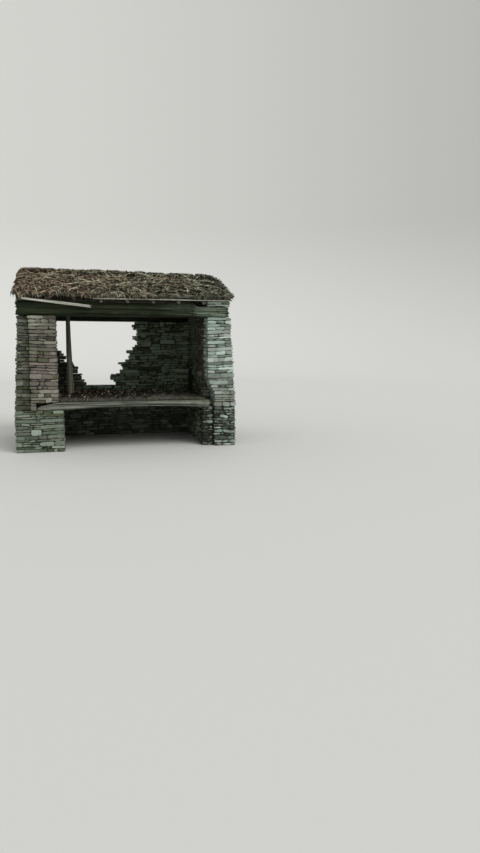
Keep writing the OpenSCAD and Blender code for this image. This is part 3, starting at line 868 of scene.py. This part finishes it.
work = Gathering(201)
add_timber(work, (sill_left, 0, 0), (1, 0, 0), (0, 1, 0), sill_length, sill_section, 84, 0.03,
           hewn=0.008, cracks=26, crack_depth=0.028, ragged=0.035, radius=0.028, light=0.55, adze=0.002,
           knots=9, bleach=sill_bleach, open_by_mm=(2.5, 6),
           long_cracks=[(-0.13, 0.028, 0.25, 2.3, 0.035, 0.006), (-0.13, -0.012, 0.7, 3.3, 0.04, 0.007),
                        (-0.13, 0.05, 1.9, 3.5, 0.03, 0.005), (-0.13, -0.045, 0.05, 1.5, 0.03, 0.005),
                        (-0.06, 0.075, 0.4, 2.9, 0.03, 0.006), (0.04, 0.075, 1.2, 3.4, 0.03, 0.006)])
work.piece("sill_beam_trunk", silver_oak, "sill_beam")


def box_section(node, axis):
    """The edges of a straight timber's solid across and up, seen along X or Y."""
    low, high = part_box(node)
    across = 1 - axis
    return lambda t: (low[across], high[across], low.z, high.z)


def lay_beam(seed, node, paint, ring, **finish):
    """One straight squared trunk that runs from side to side of the house."""
    low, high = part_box(node)
    work = Gathering(seed)
    add_timber(work, (low.x, 0, 0), (1, 0, 0), (0, 1, 0), high.x - low.x, box_section(node, 0), ring, 0.06,
               adze=0.003, **finish)
    work.piece(node + "_trunk", paint, node)


for seed, node in ((202, "mid_floor_beam"), (203, "rear_floor_beam")):
    lay_beam(seed, node, silver_oak, 40, hewn=0.008, cracks=8, radius=0.025, knots=5)

# The floor boards.
# Thick sawn oak, laid front to back over the beams and gone grey, with a gap
# at every joint; nailed where they cross a beam.


def islands(node):
    """Each separate solid of a node, as the places of its corners."""
    bm = welded(node)
    left = set(bm.verts)
    found = []
    while left:
        stack = [left.pop()]
        island = []
        while stack:
            vert = stack.pop()
            island.append(np.array(vert.co))
            for edge in vert.link_edges:
                other = edge.other_vert(vert)
                if other in left:
                    left.remove(other)
                    stack.append(other)
        found.append(np.array(island))
    bm.free()
    return sorted(found, key=lambda corners: tuple(corners.min(axis=0).round(4)))


def add_nail(work, place, heading, radius=0.006):
    """A rusty nail head, a low dome a little proud of the wood."""
    heading = Vector(heading).normalized()
    side = heading.orthogonal().normalized()
    up = heading.cross(side)
    points = [Vector(place) + heading * 0.004]
    for size, lift in ((0.75, 0.003), (1.0, 0.0005), (1.0, -0.004)):
        for i in range(8):
            a = math.tau * i / 8
            rim = (side * math.cos(a) + up * math.sin(a)) * radius * size
            points.append(Vector(place) + heading * lift + rim)
    faces = [[0, 1 + i, 1 + (i + 1) % 8] for i in range(8)]
    for ring in (1, 9):
        faces += [[ring + i, ring + 8 + i, ring + 8 + (i + 1) % 8, ring + (i + 1) % 8] for i in range(8)]
    faces.append([24 - i for i in range(8)])
    work.add(np.array([list(p) for p in points]), faces, [0.2, 0.0, 0.5, 0.25])


floor_oak = wood("floor_oak", shade(38, 38, 31), shade(84, 84, 72), shade(128, 127, 112),
                 shade(140, 140, 126), shade(58, 58, 40), 0.4)
work = Gathering(210)
for corners in islands("floor_boards"):
    low, high = corners.min(axis=0), corners.max(axis=0)
    drop = work.rng.uniform(0, 0.004)
    add_timber(work, (0, low[1], 0), (0, 1, 0), (1, 0, 0), high[1] - low[1],
               lambda t: (low[0], high[0], low[2], high[2] - drop), 26, 0.07, hewn=0.003, cracks=2,
               crack_depth=0.01, ragged=0.006, radius=0.006, knots=2, bleach=lambda t: 0.3)
    for y in (-1.27, -0.05, 0.03, 0.82):
        if low[1] < y - 0.02:
            x = (low[0] + high[0]) / 2 + work.rng.uniform(-0.06, 0.06)
            add_nail(work, (x, y, high[2] - drop - 0.002), (0, 0, 1))
work.piece("floor_board_planks", floor_oak, "floor_boards")

# The front lintel over the opening, and the inner lintel and plate behind it.
# Hewn chestnut trunks, dark with damp and moss; the front one's right end has
# weathered down to pale bare wood and its lower edge is split, the split edge
# carrying a painted highlight.
stained_chestnut = wood("stained_chestnut", shade(10, 13, 6), shade(31, 39, 21), shade(64, 68, 44),
                        shade(152, 166, 148), shade(28, 42, 17), 0.4)


lintel_left, lintel_length = -2.1, 4.16
lintel_front, lintel_back, lintel_top = -1.45, -1.2, 2.92
arch_from, arch_to, arch_rise = -1.36, 1.59, 0.04
worn_from, worn_over, worn_fall = 1.3, 0.1, 0.05


def lintel_section(t):
    """The front lintel's edges at a distance from its left end, as its solid has them."""
    x = lintel_left + t
    low = lintel_foot
    if arch_from < x < arch_to:
        low += arch_rise * math.sin(math.pi * (x - arch_from) / (arch_to - arch_from))
    high = lintel_top - worn_fall * min(max((x - worn_from) / worn_over, 0.0), 1.0)
    return lintel_front, lintel_back, low, high


def lintel_bleach(t):
    """Pale at the right end, grey-brown in the middle, dark at the left."""
    x = lintel_left + t
    bare = min(1.0, max(0.0, (x - 1.28) / 0.12))
    return bare + 0.28 * min(1.0, max(0.0, (x - 0.6) / 0.3)) * (x < 1.28)


def lintel_wound(t, at):
    """Where the lower front arris has split away over the opening, and at the right end; these places are
    also painted pale, a painted highlight on the split arris.
    """
    x = lintel_left + t
    over_opening = 0.045 * max(0.0, 1 - abs((x - 0.06) / 0.47) ** 6)
    at_right_end = 0.03 * max(0.0, 1 - abs((x - 1.85) / 0.3) ** 2)
    low = lintel_section(t)[2]
    lost = over_opening + at_right_end - (at[:, 0] - lintel_front) - (at[:, 1] - low)
    return np.clip(lost, 0, 0.05) * 0.5


work = Gathering(220)
add_timber(work, (lintel_left, 0, 0), (1, 0, 0), (0, 1, 0), lintel_length, lintel_section, 96, 0.032,
           hewn=0.009, cracks=24, crack_depth=0.028, ragged=0.035, radius=0.03, light=0.5, adze=0.003,
           knots=10, bleach=lintel_bleach, wound=lintel_wound, open_by_mm=(2, 5),
           long_cracks=[(-0.125, 0.06, 0.5, 2.6, 0.035, 0.006), (-0.125, -0.03, 1.5, 3.7, 0.035, 0.006),
                        (-0.125, 0.0, 2.9, 4.2, 0.04, 0.007), (-0.125, 0.055, 3.2, 4.2, 0.03, 0.005),
                        (-0.125, -0.075, 3.0, 4.2, 0.03, 0.005), (-0.02, -0.135, 1.2, 3.0, 0.03, 0.006)])
work.piece("front_lintel_trunk", stained_chestnut, "front_lintel")
for seed, node in ((221, "inner_lintel"), (222, "rear_wall_plate")):
    lay_beam(seed, node, stained_chestnut, 44, hewn=0.009, cracks=9, radius=0.03, knots=7,
             bleach=lambda t: 0.15)

# The ridge beam, the purlins, the pole rafters and the prop post.
# Peeled young trunks, only trimmed at their knots; the rafters rest on the
# lintel and run over the purlins, and the post stands under the ridge beam.
pole_wood = wood("pole_wood", shade(46, 46, 37), shade(102, 103, 88), shade(146, 143, 128),
                 shade(156, 154, 140), shade(76, 82, 60), 0.3, fibre=40.0)


def round_section(dia, end_dia, length, u=0.0, v=0.0):
    """A trunk's edges, tapering from its foot to its head."""
    def edges(t):
        r = (dia + (end_dia - dia) * t / length) / 2
        return u - r, u + r, v - r, v + r
    return edges


for seed, node in ((230, "ridge_beam"), (231, "front_purlin"), (232, "rear_purlin")):
    low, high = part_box(node)
    work = Gathering(seed)
    y, z, dia = (low.y + high.y) / 2, (low.z + high.z) / 2, high.z - low.z
    add_timber(work, (low.x, y, z), (1, 0, 0), (0, 1, 0), high.x - low.x,
               round_section(dia, dia * 0.94, high.x - low.x), 28, 0.06, hewn=0.006, cracks=4, radius=1,
               knots=9, ragged=0.01)
    work.piece(node + "_log", pole_wood, node)
low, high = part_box("prop_post")
work = Gathering(233)
add_timber(work, ((low.x + high.x) / 2, (low.y + high.y) / 2, low.z), (0, 0, 1), (1, 0, 0), high.z - low.z,
           round_section(0.15, 0.08, high.z - low.z), 30, 0.04, hewn=0.005, cracks=5, crack_depth=0.01,
           radius=1, knots=10, ragged=0.004, light=0.5, crook=0.003)
work.piece("prop_post_trunk", pole_wood, "prop_post")
roof_pitch = math.radians(18)


def on_slope(corners, face):
    """The way up a slope and out of it, and how far the corners lie along each."""
    run = Vector((0, -face * math.cos(roof_pitch), math.sin(roof_pitch)))
    square = Vector((0, face * math.sin(roof_pitch), math.cos(roof_pitch)))
    return run, square, corners @ np.array(run), corners @ np.array(square)


for seed, node, face in ((234, "front_rafters", -1), (235, "rear_rafters", 1)):
    work = Gathering(seed)
    for corners in islands(node):
        low, high = corners.min(axis=0), corners.max(axis=0)
        run, square, reach, rise = on_slope(corners, face)
        foot = run * float(reach.min()) + square * float(rise.max() - 0.04)
        foot.x = (low[0] + high[0]) / 2
        length = float(reach.max() - reach.min())
        add_timber(work, foot, run, (1, 0, 0), length, round_section(0.079, 0.07, length), 18, 0.07,
                   hewn=0.003, cracks=2, crack_depth=0.006, radius=1, knots=6, ragged=0.012)
    work.piece(node + "_poles", pole_wood, node)

# The roof boards under the slates and the two pale eaves boards.
# Rough sawn planks nailed to the rafters; the eaves boards are newer wood,
# gone pale, and the left one has slipped and hangs across the lintel.
board_oak = wood("board_oak", shade(36, 34, 27), shade(78, 74, 60), shade(116, 110, 94),
                 shade(130, 126, 112), shade(54, 56, 38), 0.35)
pale_larch = wood("pale_larch", shade(74, 72, 62), shade(160, 161, 147), shade(224, 225, 211),
                  shade(234, 234, 221), shade(112, 114, 96), 0.25)
for seed, node, face, paint, faded in ((240, "front_roof_boards", -1, board_oak, 0.2),
                                       (241, "rear_roof_boards", 1, board_oak, 0.2),
                                       (242, "right_eaves_board", -1, pale_larch, 0.8)):
    work = Gathering(seed)
    for corners in islands(node):
        low, high = corners.min(axis=0), corners.max(axis=0)
        run, square, reach, rise = on_slope(corners, face)
        edges = (float(reach.min()), float(reach.max()), float(rise.min()), float(rise.max()))
        add_timber(work, (low[0], 0, 0), (1, 0, 0), run, high[0] - low[0], lambda t: edges, 22, 0.09,
                   hewn=0.003, cracks=3, crack_depth=0.008, ragged=0.012, radius=0.005, knots=4,
                   bleach=lambda t: faded)
        if node == "right_eaves_board":
            for number in range(5):
                x = low[0] + 0.12 + number * 0.62
                place = run * (edges[0] + 0.05) + square * (edges[2] + 0.001) + Vector((x, 0, 0))
                add_nail(work, place, -square, 0.005)
    work.piece(node + "_planks", paint, node)
corners = islands("loose_eaves_board")[0]
low, high = corners.min(axis=0), corners.max(axis=0)
fall = Vector((high[0] - low[0], 0, -0.135))
run = fall.normalized()
work = Gathering(243)


def loose_section(t):
    """The slipped board widens from its left end to its right end."""
    return low[1], high[1], -(0.7 + 0.3 * t / fall.length) * 0.055, 0.0


add_timber(work, (low[0], 0, high[2]), run, (0, 1, 0), fall.length, loose_section, 40, 0.03, hewn=0.003,
           cracks=6, crack_depth=0.012, ragged=0.035, radius=0.006, knots=3, light=0.75, bleach=lambda t: 0.8)
for t in (0.1, 0.62, 1.15):
    add_nail(work, (low[0] + run.x * t, low[1] + 0.002, high[2] + run.z * t - 0.028), (0, -1, 0), 0.005)
work.piece("loose_eaves_board_plank", pale_larch, "loose_eaves_board")

# The slates: six lapped courses and a starter row on each slope, and two ridge rows.
# Thick slabs split by hand, chipped round the edges and shelling off in layers,
# pegged at the head; the front ridge row stands up over the rear one.


def slate_tone(rng):
    return [rng.beta(2, 2), rng.random(), rng.random() ** 2, 1.0]


def add_slate(work, corners):
    """One slab between the eight corners of its solid."""
    rng = work.rng
    order = corners[np.argsort(corners[:, 1])]
    near, far = order[:4], order[4:]
    tail, head = (near, far) if abs(near[:, 1].mean()) > abs(far[:, 1].mean()) else (far, near)
    low, high = corners[:, 0].min(), corners[:, 0].max()
    tail, head = tail[np.argsort(tail[:, 2])], head[np.argsort(head[:, 2])]
    ends = [[group[:2, 1:].mean(axis=0), group[2:, 1:].mean(axis=0)] for group in (tail, head)]
    cells = (int(np.clip(round((high - low) / 0.05), 4, 12)), 10, 1)
    grid, faces, _ = block_grid(cells)
    a, b, c = grid[:, 0] + 0.5, (grid[:, 1] + 0.5) ** 1.5, grid[:, 2] + 0.5
    length = np.linalg.norm(ends[0][0] - ends[1][0])
    thick = np.linalg.norm(ends[0][0] - ends[0][1])
    width = high - low
    at_side = np.abs(grid[:, 0]) > 0.499
    at_end = np.abs(grid[:, 1]) > 0.499
    bite = waves(rng, 5, (22, 22))
    chip = 0.006 + 0.008 * np.abs(field(bite, a * width, b * length)) + rng.uniform(0, 0.004, len(a))
    chip *= np.where(c > 0.5, 1.0, 0.35)
    corner = at_side & at_end
    chip[corner] += rng.uniform(0.004, 0.02)
    a = np.where(at_side, np.clip(a + np.sign(0.5 - a) * chip / width, 0, 1), a)
    b = np.where(at_end, np.clip(b + np.sign(0.5 - b) * chip * 1.3 / length, 0, 1), b)
    a = np.where(~at_side, a + rng.normal(0, 0.006, len(a)) / width, a)
    layers = field(waves(rng, 4, (9, 7)), a * width, b * length)
    shelled = 0.0016 * np.floor(np.clip(1.6 + 1.5 * layers, 0, 4))
    shelled += rng.uniform(0, 0.0012, len(a)) + np.where(at_side | at_end, rng.uniform(0.002, 0.007), 0)
    drop = np.where(c > 0.5, np.clip(shelled, 0, thick * 0.5), 0) / thick
    lift = np.where((c < 0.5) & at_end & (b < 0.3), rng.uniform(0, 0.003) / thick, 0)
    c = np.clip(c - drop + lift, 0, 1)
    b, c = b[:, None], c[:, None]
    place = (ends[0][0] * (1 - b) + ends[1][0] * b) * (1 - c) + (ends[0][1] * (1 - b) + ends[1][1] * b) * c
    world = np.column_stack([low + a * width, place])
    mirrored = ends[0][0][0] > ends[1][0][0]
    work.add(world, (faces[:, ::-1] if mirrored else faces).tolist(), slate_tone(rng))


def slate(name):
    """Hand split slate: a tone for each slab, shelling layers, lichen and moss."""
    paint = Paint(name, 0.8)
    light, hue, damp, _ = paint.tones()
    where = paint.place()
    grain = paint.noise(where, (1, 1, 1), 38, 8, 0.7)
    sheets = paint.noise(where, (1, 1, 12), 3.0, 5, 0.6)
    lichen = paint.noise(where, (1, 1, 1), 8.5, 6, 0.75)
    moss = paint.noise(where, (1, 1, 1), 2.6, 5, 0.65)
    level = paint.math("SUBTRACT", paint.math("MULTIPLY_ADD", sheets, 0.8, light), 0.4)
    colour = paint.ramp(level, shade(40, 41, 36), shade(82, 83, 75), shade(122, 124, 114))
    colour = paint.mix(paint.span(hue, 0.5, 1.0, 0.0, 0.6), colour, shade(96, 84, 70))
    wet = paint.math("MULTIPLY_ADD", damp, 0.3, moss)
    colour = paint.mix(paint.span(wet, 0.6, 0.78, 0.0, 0.8), colour, shade(62, 68, 44))
    colour = paint.mix(paint.span(lichen, 0.6, 0.66, 0.0, 0.75), colour, shade(150, 156, 140))
    colour = paint.mix(paint.span(grain, 0.42, 0.3, 0.0, 0.7), colour, shade(30, 30, 26))
    return paint.finish(colour, paint.bump(grain, 0.5, 0.005, paint.bump(sheets, 0.5, 0.01)))


roof_slate = slate("roof_slate")
slate_nodes = [node for node in slots if slots[node] == "roof_slate"]
for order, node in enumerate(slate_nodes):
    work = Gathering(300 + order)
    for corners in islands(node):
        add_slate(work, corners)
    work.piece(node + "_slabs", roof_slate, node)

# The litter on the roof.
# Years of dead leaves, stalks and twigs, fallen and matted on the slates; thick
# and red brown at the left, thin at the right and the edges, where slates show.
slate_tree = solid_tree(*slate_nodes)
roof_top = cad_box[1][2] - 0.0005
mat_left, mat_right, mat_eaves, mat_cell = -2.17, 2.081, 1.54, 0.036
stalks_left, stalks_right = -2.15, 2.17
eaves_edge, hanging_from, hanging_to = 1.6, 1.602, 1.613


def top_at(tree, x, y, start=4.2):
    hit = tree.ray_cast(Vector((x, y, start)), Vector((0, 0, -1)))[0]
    return None if hit is None else hit.z


def add_mat(work, tree, face):
    """A lumpy mat between the slates and the solid's top, open where it has worn through."""
    rng = work.rng
    xs = np.arange(mat_left, mat_right, mat_cell)
    ys = np.concatenate([np.arange(mat_eaves, 0.03, -mat_cell), [0.0]]) * face
    broad, fine = waves(rng, 6, (5, 5)), waves(rng, 8, (26, 26))
    holes = waves(rng, 7, (7, 7))
    shape = (len(ys), len(xs))
    low, high = np.full(shape, np.nan), np.full(shape, np.nan)
    place = np.zeros(shape + (2,))
    for j, y0 in enumerate(ys):
        for i, x0 in enumerate(xs):
            ridge = j == len(ys) - 1
            x = x0 + rng.uniform(-0.011, 0.011)
            y = y0 + (0 if ridge else rng.uniform(-0.011, 0.011))
            place[j, i] = x, y
            under = top_at(slate_tree, x, y if not ridge else 0.0005 * face)
            over = top_at(tree, x, y if not ridge else 0.001 * face)
            if under is None or over is None:
                continue
            over = max(over, under + 0.012)
            left = 2.1 + 0.068 * min(1.0, (1.53 - abs(y)) / 1.22) + x
            edge = min(left / 0.06, (2.07 - x) / 0.16, (1.55 - abs(y)) / 0.05, 1)
            worn = 0.4 * field(holes, x, y) + (1.1 if x < 1.2 else 1.1 - (x - 1.2) * 0.7)
            if edge < 0.5:
                worn -= (0.5 - edge) * 1.6
            if worn < 0.0:
                continue
            share = 0.88 + 0.05 * float(field(broad, x, y)) + 0.12 * float(field(fine, x, y))
            share *= min(1, 0.5 + 0.5 * edge) * min(1, 0.5 + worn * 1.5)
            low[j, i] = under + 0.0005
            high[j, i] = under + (over - under) * min(max(share, 0.12), 0.98)
    solid = ~np.isnan(high)
    cells = solid[:-1, :-1] & solid[1:, :-1] & solid[:-1, 1:] & solid[1:, 1:]
    index = {}
    points, faces, tones = [], [], []

    def corner(j, i, upper):
        key = (j, i, upper)
        if key not in index:
            index[key] = len(points)
            points.append((*place[j, i], high[j, i] if upper else low[j, i]))
            red = 0.5 + 0.5 * math.tanh(1.2 - place[j, i, 0])
            # The last tone number is 1 at the mat's top and lower at its foot, where painted shade darkens
            # its sides.
            tones.append((0.6 * rng.beta(2, 2), red, 0.0, 1.0 if upper else 0.3))
        return index[key]

    for j, i in zip(*np.nonzero(cells)):
        ring = [(j, i), (j, i + 1), (j + 1, i + 1), (j + 1, i)]
        faces.append([corner(*c, True) for c in ring])
        faces.append([corner(*c, False) for c in reversed(ring)])
        for (a, b), (dj, di) in zip(zip(ring, ring[1:] + ring[:1]), ((-1, 0), (0, 1), (1, 0), (0, -1))):
            nj, ni = j + dj, i + di
            if 0 <= nj < cells.shape[0] and 0 <= ni < cells.shape[1] and cells[nj, ni]:
                continue
            faces.append([corner(*b, True), corner(*a, True), corner(*a, False), corner(*b, False)])
    if face > 0:
        faces = [f[::-1] for f in faces]
    points = np.array(points)
    work.add(points, faces, np.array(tones))
    return BVHTree.FromPolygons([Vector(p) for p in points], faces)


def add_stalk(work, trees, x, y, turn, length, radius, sides, bend, lift, tone, taper=0.35):
    """A dead stalk or twig draped over the mat; where it passes the eaves, it hangs."""
    rng = work.rng
    steps = max(4, min(12, int(length / 0.045)))
    stride = length / steps
    spine = []
    z = None
    hanging = 0
    for k in range(steps + 1):
        if k:
            x += math.cos(turn) * stride * (0.3 if hanging else 1.0)
            y += math.sin(turn) * stride * (0.3 if hanging else 1.0)
            turn += rng.normal(0, bend)
        if not stalks_left < x < stalks_right or hanging > 3:
            break
        ground = max((g for g in (top_at(t, x, y) for t in trees) if g is not None), default=None)
        if ground is None or abs(y) > eaves_edge:
            if z is None:
                return
            hanging += 1
            y = math.copysign(min(abs(y), rng.uniform(hanging_from, hanging_to)), y)
            z -= stride * rng.uniform(0.4, 0.8)
        else:
            z = ground if z is None else max(ground, z - 0.03)
        wave = lift * math.sin(math.pi * k / steps) + rng.normal(0, 0.0025)
        spine.append(Vector((x, y, min(z + radius * 0.6 + wave, roof_top - radius))))
    if len(spine) < 3:
        return
    steps = len(spine) - 1
    points, faces = [], []
    for k, place in enumerate(spine):
        ahead = (spine[min(k + 1, steps)] - spine[max(k - 1, 0)]).normalized()
        side = ahead.cross(Vector((0, 0, 1))).normalized()
        up = side.cross(ahead)
        r = radius * (1 - (1 - taper) * k / steps)
        for s in range(sides):
            a = math.tau * s / sides
            points.append(place + (side * math.cos(a) + up * math.sin(a)) * r)
    for k in range(steps):
        a, b = k * sides, (k + 1) * sides
        faces += [[a + s, a + (s + 1) % sides, b + (s + 1) % sides, b + s] for s in range(sides)]
    faces.append(list(range(sides))[::-1])
    faces.append([steps * sides + s for s in range(sides)])
    work.add(np.array([list(p) for p in points]), faces, tone)


def add_leaf(work, trees, x, y, tone, heap=0.0):
    """A curled dead leaf with a folded midrib, lying on the mat at a chance slope."""
    rng = work.rng
    ground = max((g for g in (top_at(t, x, y) for t in trees) if g is not None), default=None)
    if ground is None:
        return
    length, width = rng.uniform(0.035, 0.085), rng.uniform(0.014, 0.036)
    curl, fold = rng.uniform(0.2, 1.3), rng.uniform(0.15, 0.9)
    turn, lean, roll = rng.uniform(0, math.tau), rng.normal(0, 0.4), rng.normal(0, 0.4)
    base = []
    for k, share in enumerate((0.12, 0.8, 1.0, 0.66, 0.06)):
        t = k / 4 - 0.5
        along = math.sin(curl * t) / curl * length
        high = (1 - math.cos(curl * t * 1.6)) / curl * length
        for s in (-1, 0, 1):
            half = s * share * width
            base.append((along, half * math.cos(fold), high + abs(half) * math.sin(fold)))
    base = np.array(base)
    ct, st, cl, sl, cr, sr = (f(v) for v in (turn, lean, roll) for f in (math.cos, math.sin))
    rot = (np.array([[ct, -st, 0], [st, ct, 0], [0, 0, 1]]) @ np.array([[cl, 0, sl], [0, 1, 0], [-sl, 0, cl]])
           @ np.array([[1, 0, 0], [0, cr, -sr], [0, sr, cr]]))
    world = base @ rot.T
    world += [x, y, ground - world[:, 2].min() * 0.6 + rng.uniform(0, heap)]
    world[:, 2] = np.minimum(world[:, 2], roof_top)
    faces = []
    for k in range(4):
        for s in range(2):
            a = k * 3 + s
            faces.append([a, a + 3, a + 4, a + 1])
    work.add(world, faces, tone)


def litter_tone(rng, x, pale):
    """Lightness and redness: redder to the left, greyer to the right."""
    red = min(max(rng.normal(0.68 - 0.16 * (x + 2), 0.25), 0), 1)
    return [min(rng.beta(1.6, 2.0) * (1 - pale) + pale, 1.0), red, 0.0, 1.0]


sheaf = 5


def scatter_litter(node, face, seed, stalks, leaves, sticks, fringe):
    """The mat of one slope, with its sheaves of stalks, sticks, eaves fringe and leaves."""
    work = Gathering(seed)
    rng = work.rng
    mat_tree = add_mat(work, solid_tree(node), face)
    trees = (mat_tree, slate_tree)

    def spot():
        """A chance place, more often to the left."""
        while True:
            x, y = rng.uniform(-2.12, 2.1), rng.uniform(0.0, 1.57)
            if rng.random() < (1.0 if x < 0.6 else 1.0 - 0.38 * (x - 0.6)):
                return x, y * face

    for _ in range(stalks // sheaf):
        x, y = spot()
        turn = rng.normal(0, 0.8) + (math.pi if rng.random() < 0.5 else 0)
        tone = litter_tone(rng, x, 0.1)
        spread = rng.uniform(0.004, 0.018)
        for _ in range(sheaf):
            light = min(max(tone[0] + rng.normal(0, 0.1), 0), 1)
            add_stalk(work, trees, x + rng.normal(0, spread), y + rng.normal(0, spread),
                      turn + rng.normal(0, 0.2), rng.uniform(0.12, 0.38), rng.uniform(0.0025, 0.006), 3, 0.14,
                      rng.uniform(0.0, 0.03), [light, *tone[1:]])
    for _ in range(sticks):
        x, y = spot()
        turn = rng.normal(0, 0.8) + (math.pi if rng.random() < 0.5 else 0)
        add_stalk(work, trees, x, y, turn, rng.uniform(0.25, 0.8), rng.uniform(0.005, 0.011), 4,
                  0.1, rng.uniform(0.006, 0.034), litter_tone(rng, x + 0.3, 0.55))
    for _ in range(fringe):
        x = rng.uniform(-2.12, 2.0) if rng.random() < 0.35 else rng.uniform(-2.12, 0.5)
        turn = math.copysign(rng.uniform(0.25, 1.45), face) if rng.random() < 0.5 else \
            math.copysign(math.pi - rng.uniform(0.25, 1.45), face)
        add_stalk(work, trees, x, face * rng.uniform(1.46, 1.57), turn, rng.uniform(0.13, 0.3),
                  rng.uniform(0.003, 0.0075), 3, 0.12, rng.uniform(-0.01, 0.01), litter_tone(rng, x, 0.3))
    for _ in range(leaves):
        x, y = spot()
        add_leaf(work, trees, x, y, litter_tone(rng, x, 0.0))
    return work


def litter_paint(name):
    """Dead matter from red brown through straw to grey, speckled and mossy in patches."""
    paint = Paint(name, 0.95)
    light, red, _, upper = paint.tones()
    where = paint.place()
    specks = paint.noise(where, (1, 1, 1), 90, 6, 0.8)
    patches = paint.noise(where, (1, 1, 1), 2.4, 4, 0.6)
    clumps = paint.noise(where, (1, 1.4, 1.4), 13, 3, 0.55)
    level = paint.math("MULTIPLY_ADD", specks, 0.6, paint.math("MULTIPLY_ADD", light, 1.35, -0.7))
    level = paint.math("ADD", level, paint.span(clumps, 0.36, 0.6, -0.28, 0.24))
    warm = paint.ramp(level, shade(20, 13, 9), shade(92, 71, 56), shade(206, 184, 156))
    cool = paint.ramp(level, shade(20, 20, 13), shade(92, 94, 74), shade(204, 206, 178))
    mixed = paint.math("MULTIPLY_ADD", patches, 0.9, paint.math("SUBTRACT", red, 0.45))
    colour = paint.mix(paint.span(mixed, 0.15, 0.75), cool, warm)
    # Painted shade: the mat's sides darken towards their foot on the slates.
    colour = paint.mix(paint.span(upper, 1.0, 0.3, 0.0, 0.6), colour, shade(28, 24, 18))
    return paint.finish(colour, paint.bump(specks, 0.8, 0.01))


dead_litter = litter_paint("dead_litter")
front_mat = scatter_litter("front_litter", -1, 401, stalks=2600, leaves=1400, sticks=400, fringe=650)
front_mat.piece("front_litter_mat", dead_litter, "front_litter")
rear_mat = scatter_litter("rear_litter", 1, 402, stalks=2100, leaves=1300, sticks=300, fringe=420)
rear_mat.piece("rear_litter_mat", dead_litter, "rear_litter")

# The dead leaves on the floor boards.
# Dry curled leaves and bits of stalk, blown in and lying loose, brown going
# to grey and thickest left of the middle.
floor_tree = solid_tree("floor_boards")
floor_left, floor_right, floor_front, floor_back = -1.54, 1.5, -1.15, 0.95
floor_pieces, floor_heap = 1900, 0.035
work = Gathering(403)
for _ in range(floor_pieces):
    x = min(max(work.rng.normal(-0.7, 0.8), floor_left), floor_right)
    y = min(max(work.rng.normal(0.1, 0.6), floor_front), floor_back)
    tone = litter_tone(work.rng, x, 0.0)
    tone[0] *= 0.85
    if work.rng.random() < 0.85:
        add_leaf(work, (floor_tree,), x, y, tone, floor_heap)
    else:
        add_stalk(work, (floor_tree,), x, y, work.rng.uniform(0, math.tau), work.rng.uniform(0.05, 0.25),
                  work.rng.uniform(0.0015, 0.004), 3, 0.15, 0.004, tone)
work.piece("floor_leaves", dead_litter, None, "dead_litter")

# The camera, at the photo's viewing angle: almost square to the open front,
# with the house low in the left third of an upright frame.
picture_height_px = 853
focal_px = 616
camera_data = bpy.data.cameras.new("camera")
camera_data.sensor_fit = "VERTICAL"
camera_data.sensor_height = 24
camera_data.lens = 24 * focal_px / picture_height_px
camera = bpy.data.objects.new("camera", camera_data)
camera.location = (-0.831, -13.921, 2.03)
camera.rotation_euler = (math.radians(90 - 7.26), 0, math.radians(-14))
bpy.context.scene.collection.objects.link(camera)
bpy.context.scene.camera = camera

# A plain pale floor, and a bowl far round it that turns up as the backdrop.
# The bowl stops no light; it only closes the view behind the house.
floor_paint = bpy.data.materials.new("floor_paint")
floor_paint.use_nodes = True
floor_paint.node_tree.nodes["Principled BSDF"].inputs["Base Color"].default_value = shade(214, 214, 210)
floor_paint.node_tree.nodes["Principled BSDF"].inputs["Roughness"].default_value = 0.9
turns = 96
floor_radius, bend_radius, bowl_height = 27, 12, 70
bend = [math.radians(7.5 * i) for i in range(13)]
bowl = [(floor_radius + bend_radius * math.sin(a), bend_radius * (1 - math.cos(a))) for a in bend[1:]]
bowl = [(floor_radius - 0.1, 0)] + bowl + [(floor_radius + bend_radius, bowl_height)]
for name, profile in (("floor", [(floor_radius, 0)]), ("backdrop", bowl)):
    points = [(r * math.cos(math.tau * i / turns), r * math.sin(math.tau * i / turns), z)
              for r, z in profile for i in range(turns)]
    starts = [(j * turns, i, (i + 1) % turns) for j in range(len(profile) - 1) for i in range(turns)]
    sheets = [[s + i, s + k, s + turns + k, s + turns + i] for s, i, k in starts] or [list(range(turns))]
    mesh = bpy.data.meshes.new(name)
    mesh.from_pydata(points, [], sheets)
    mesh.polygons.foreach_set("use_smooth", [True] * len(sheets))
    mesh.materials.append(floor_paint)
    ground = bpy.data.objects.new(name, mesh)
    bpy.context.scene.collection.objects.link(ground)
ground.visible_shadow = False
ground.visible_diffuse = False

# Soft, even studio light: a pale world and one broad lamp from the front right.
world = bpy.data.worlds.new("studio")
world.use_nodes = True
world.node_tree.nodes["Background"].inputs["Color"].default_value = (1, 1, 1, 1)
world.node_tree.nodes["Background"].inputs["Strength"].default_value = 0.62
bpy.context.scene.world = world
key_data = bpy.data.lights.new("key", "SUN")
key_data.energy = 1.5
key_data.angle = math.radians(40)
key = bpy.data.objects.new("key", key_data)
key.rotation_euler = (math.radians(48), 0, math.radians(32))
bpy.context.scene.collection.objects.link(key)
bpy.context.scene.view_settings.view_transform = "Standard"
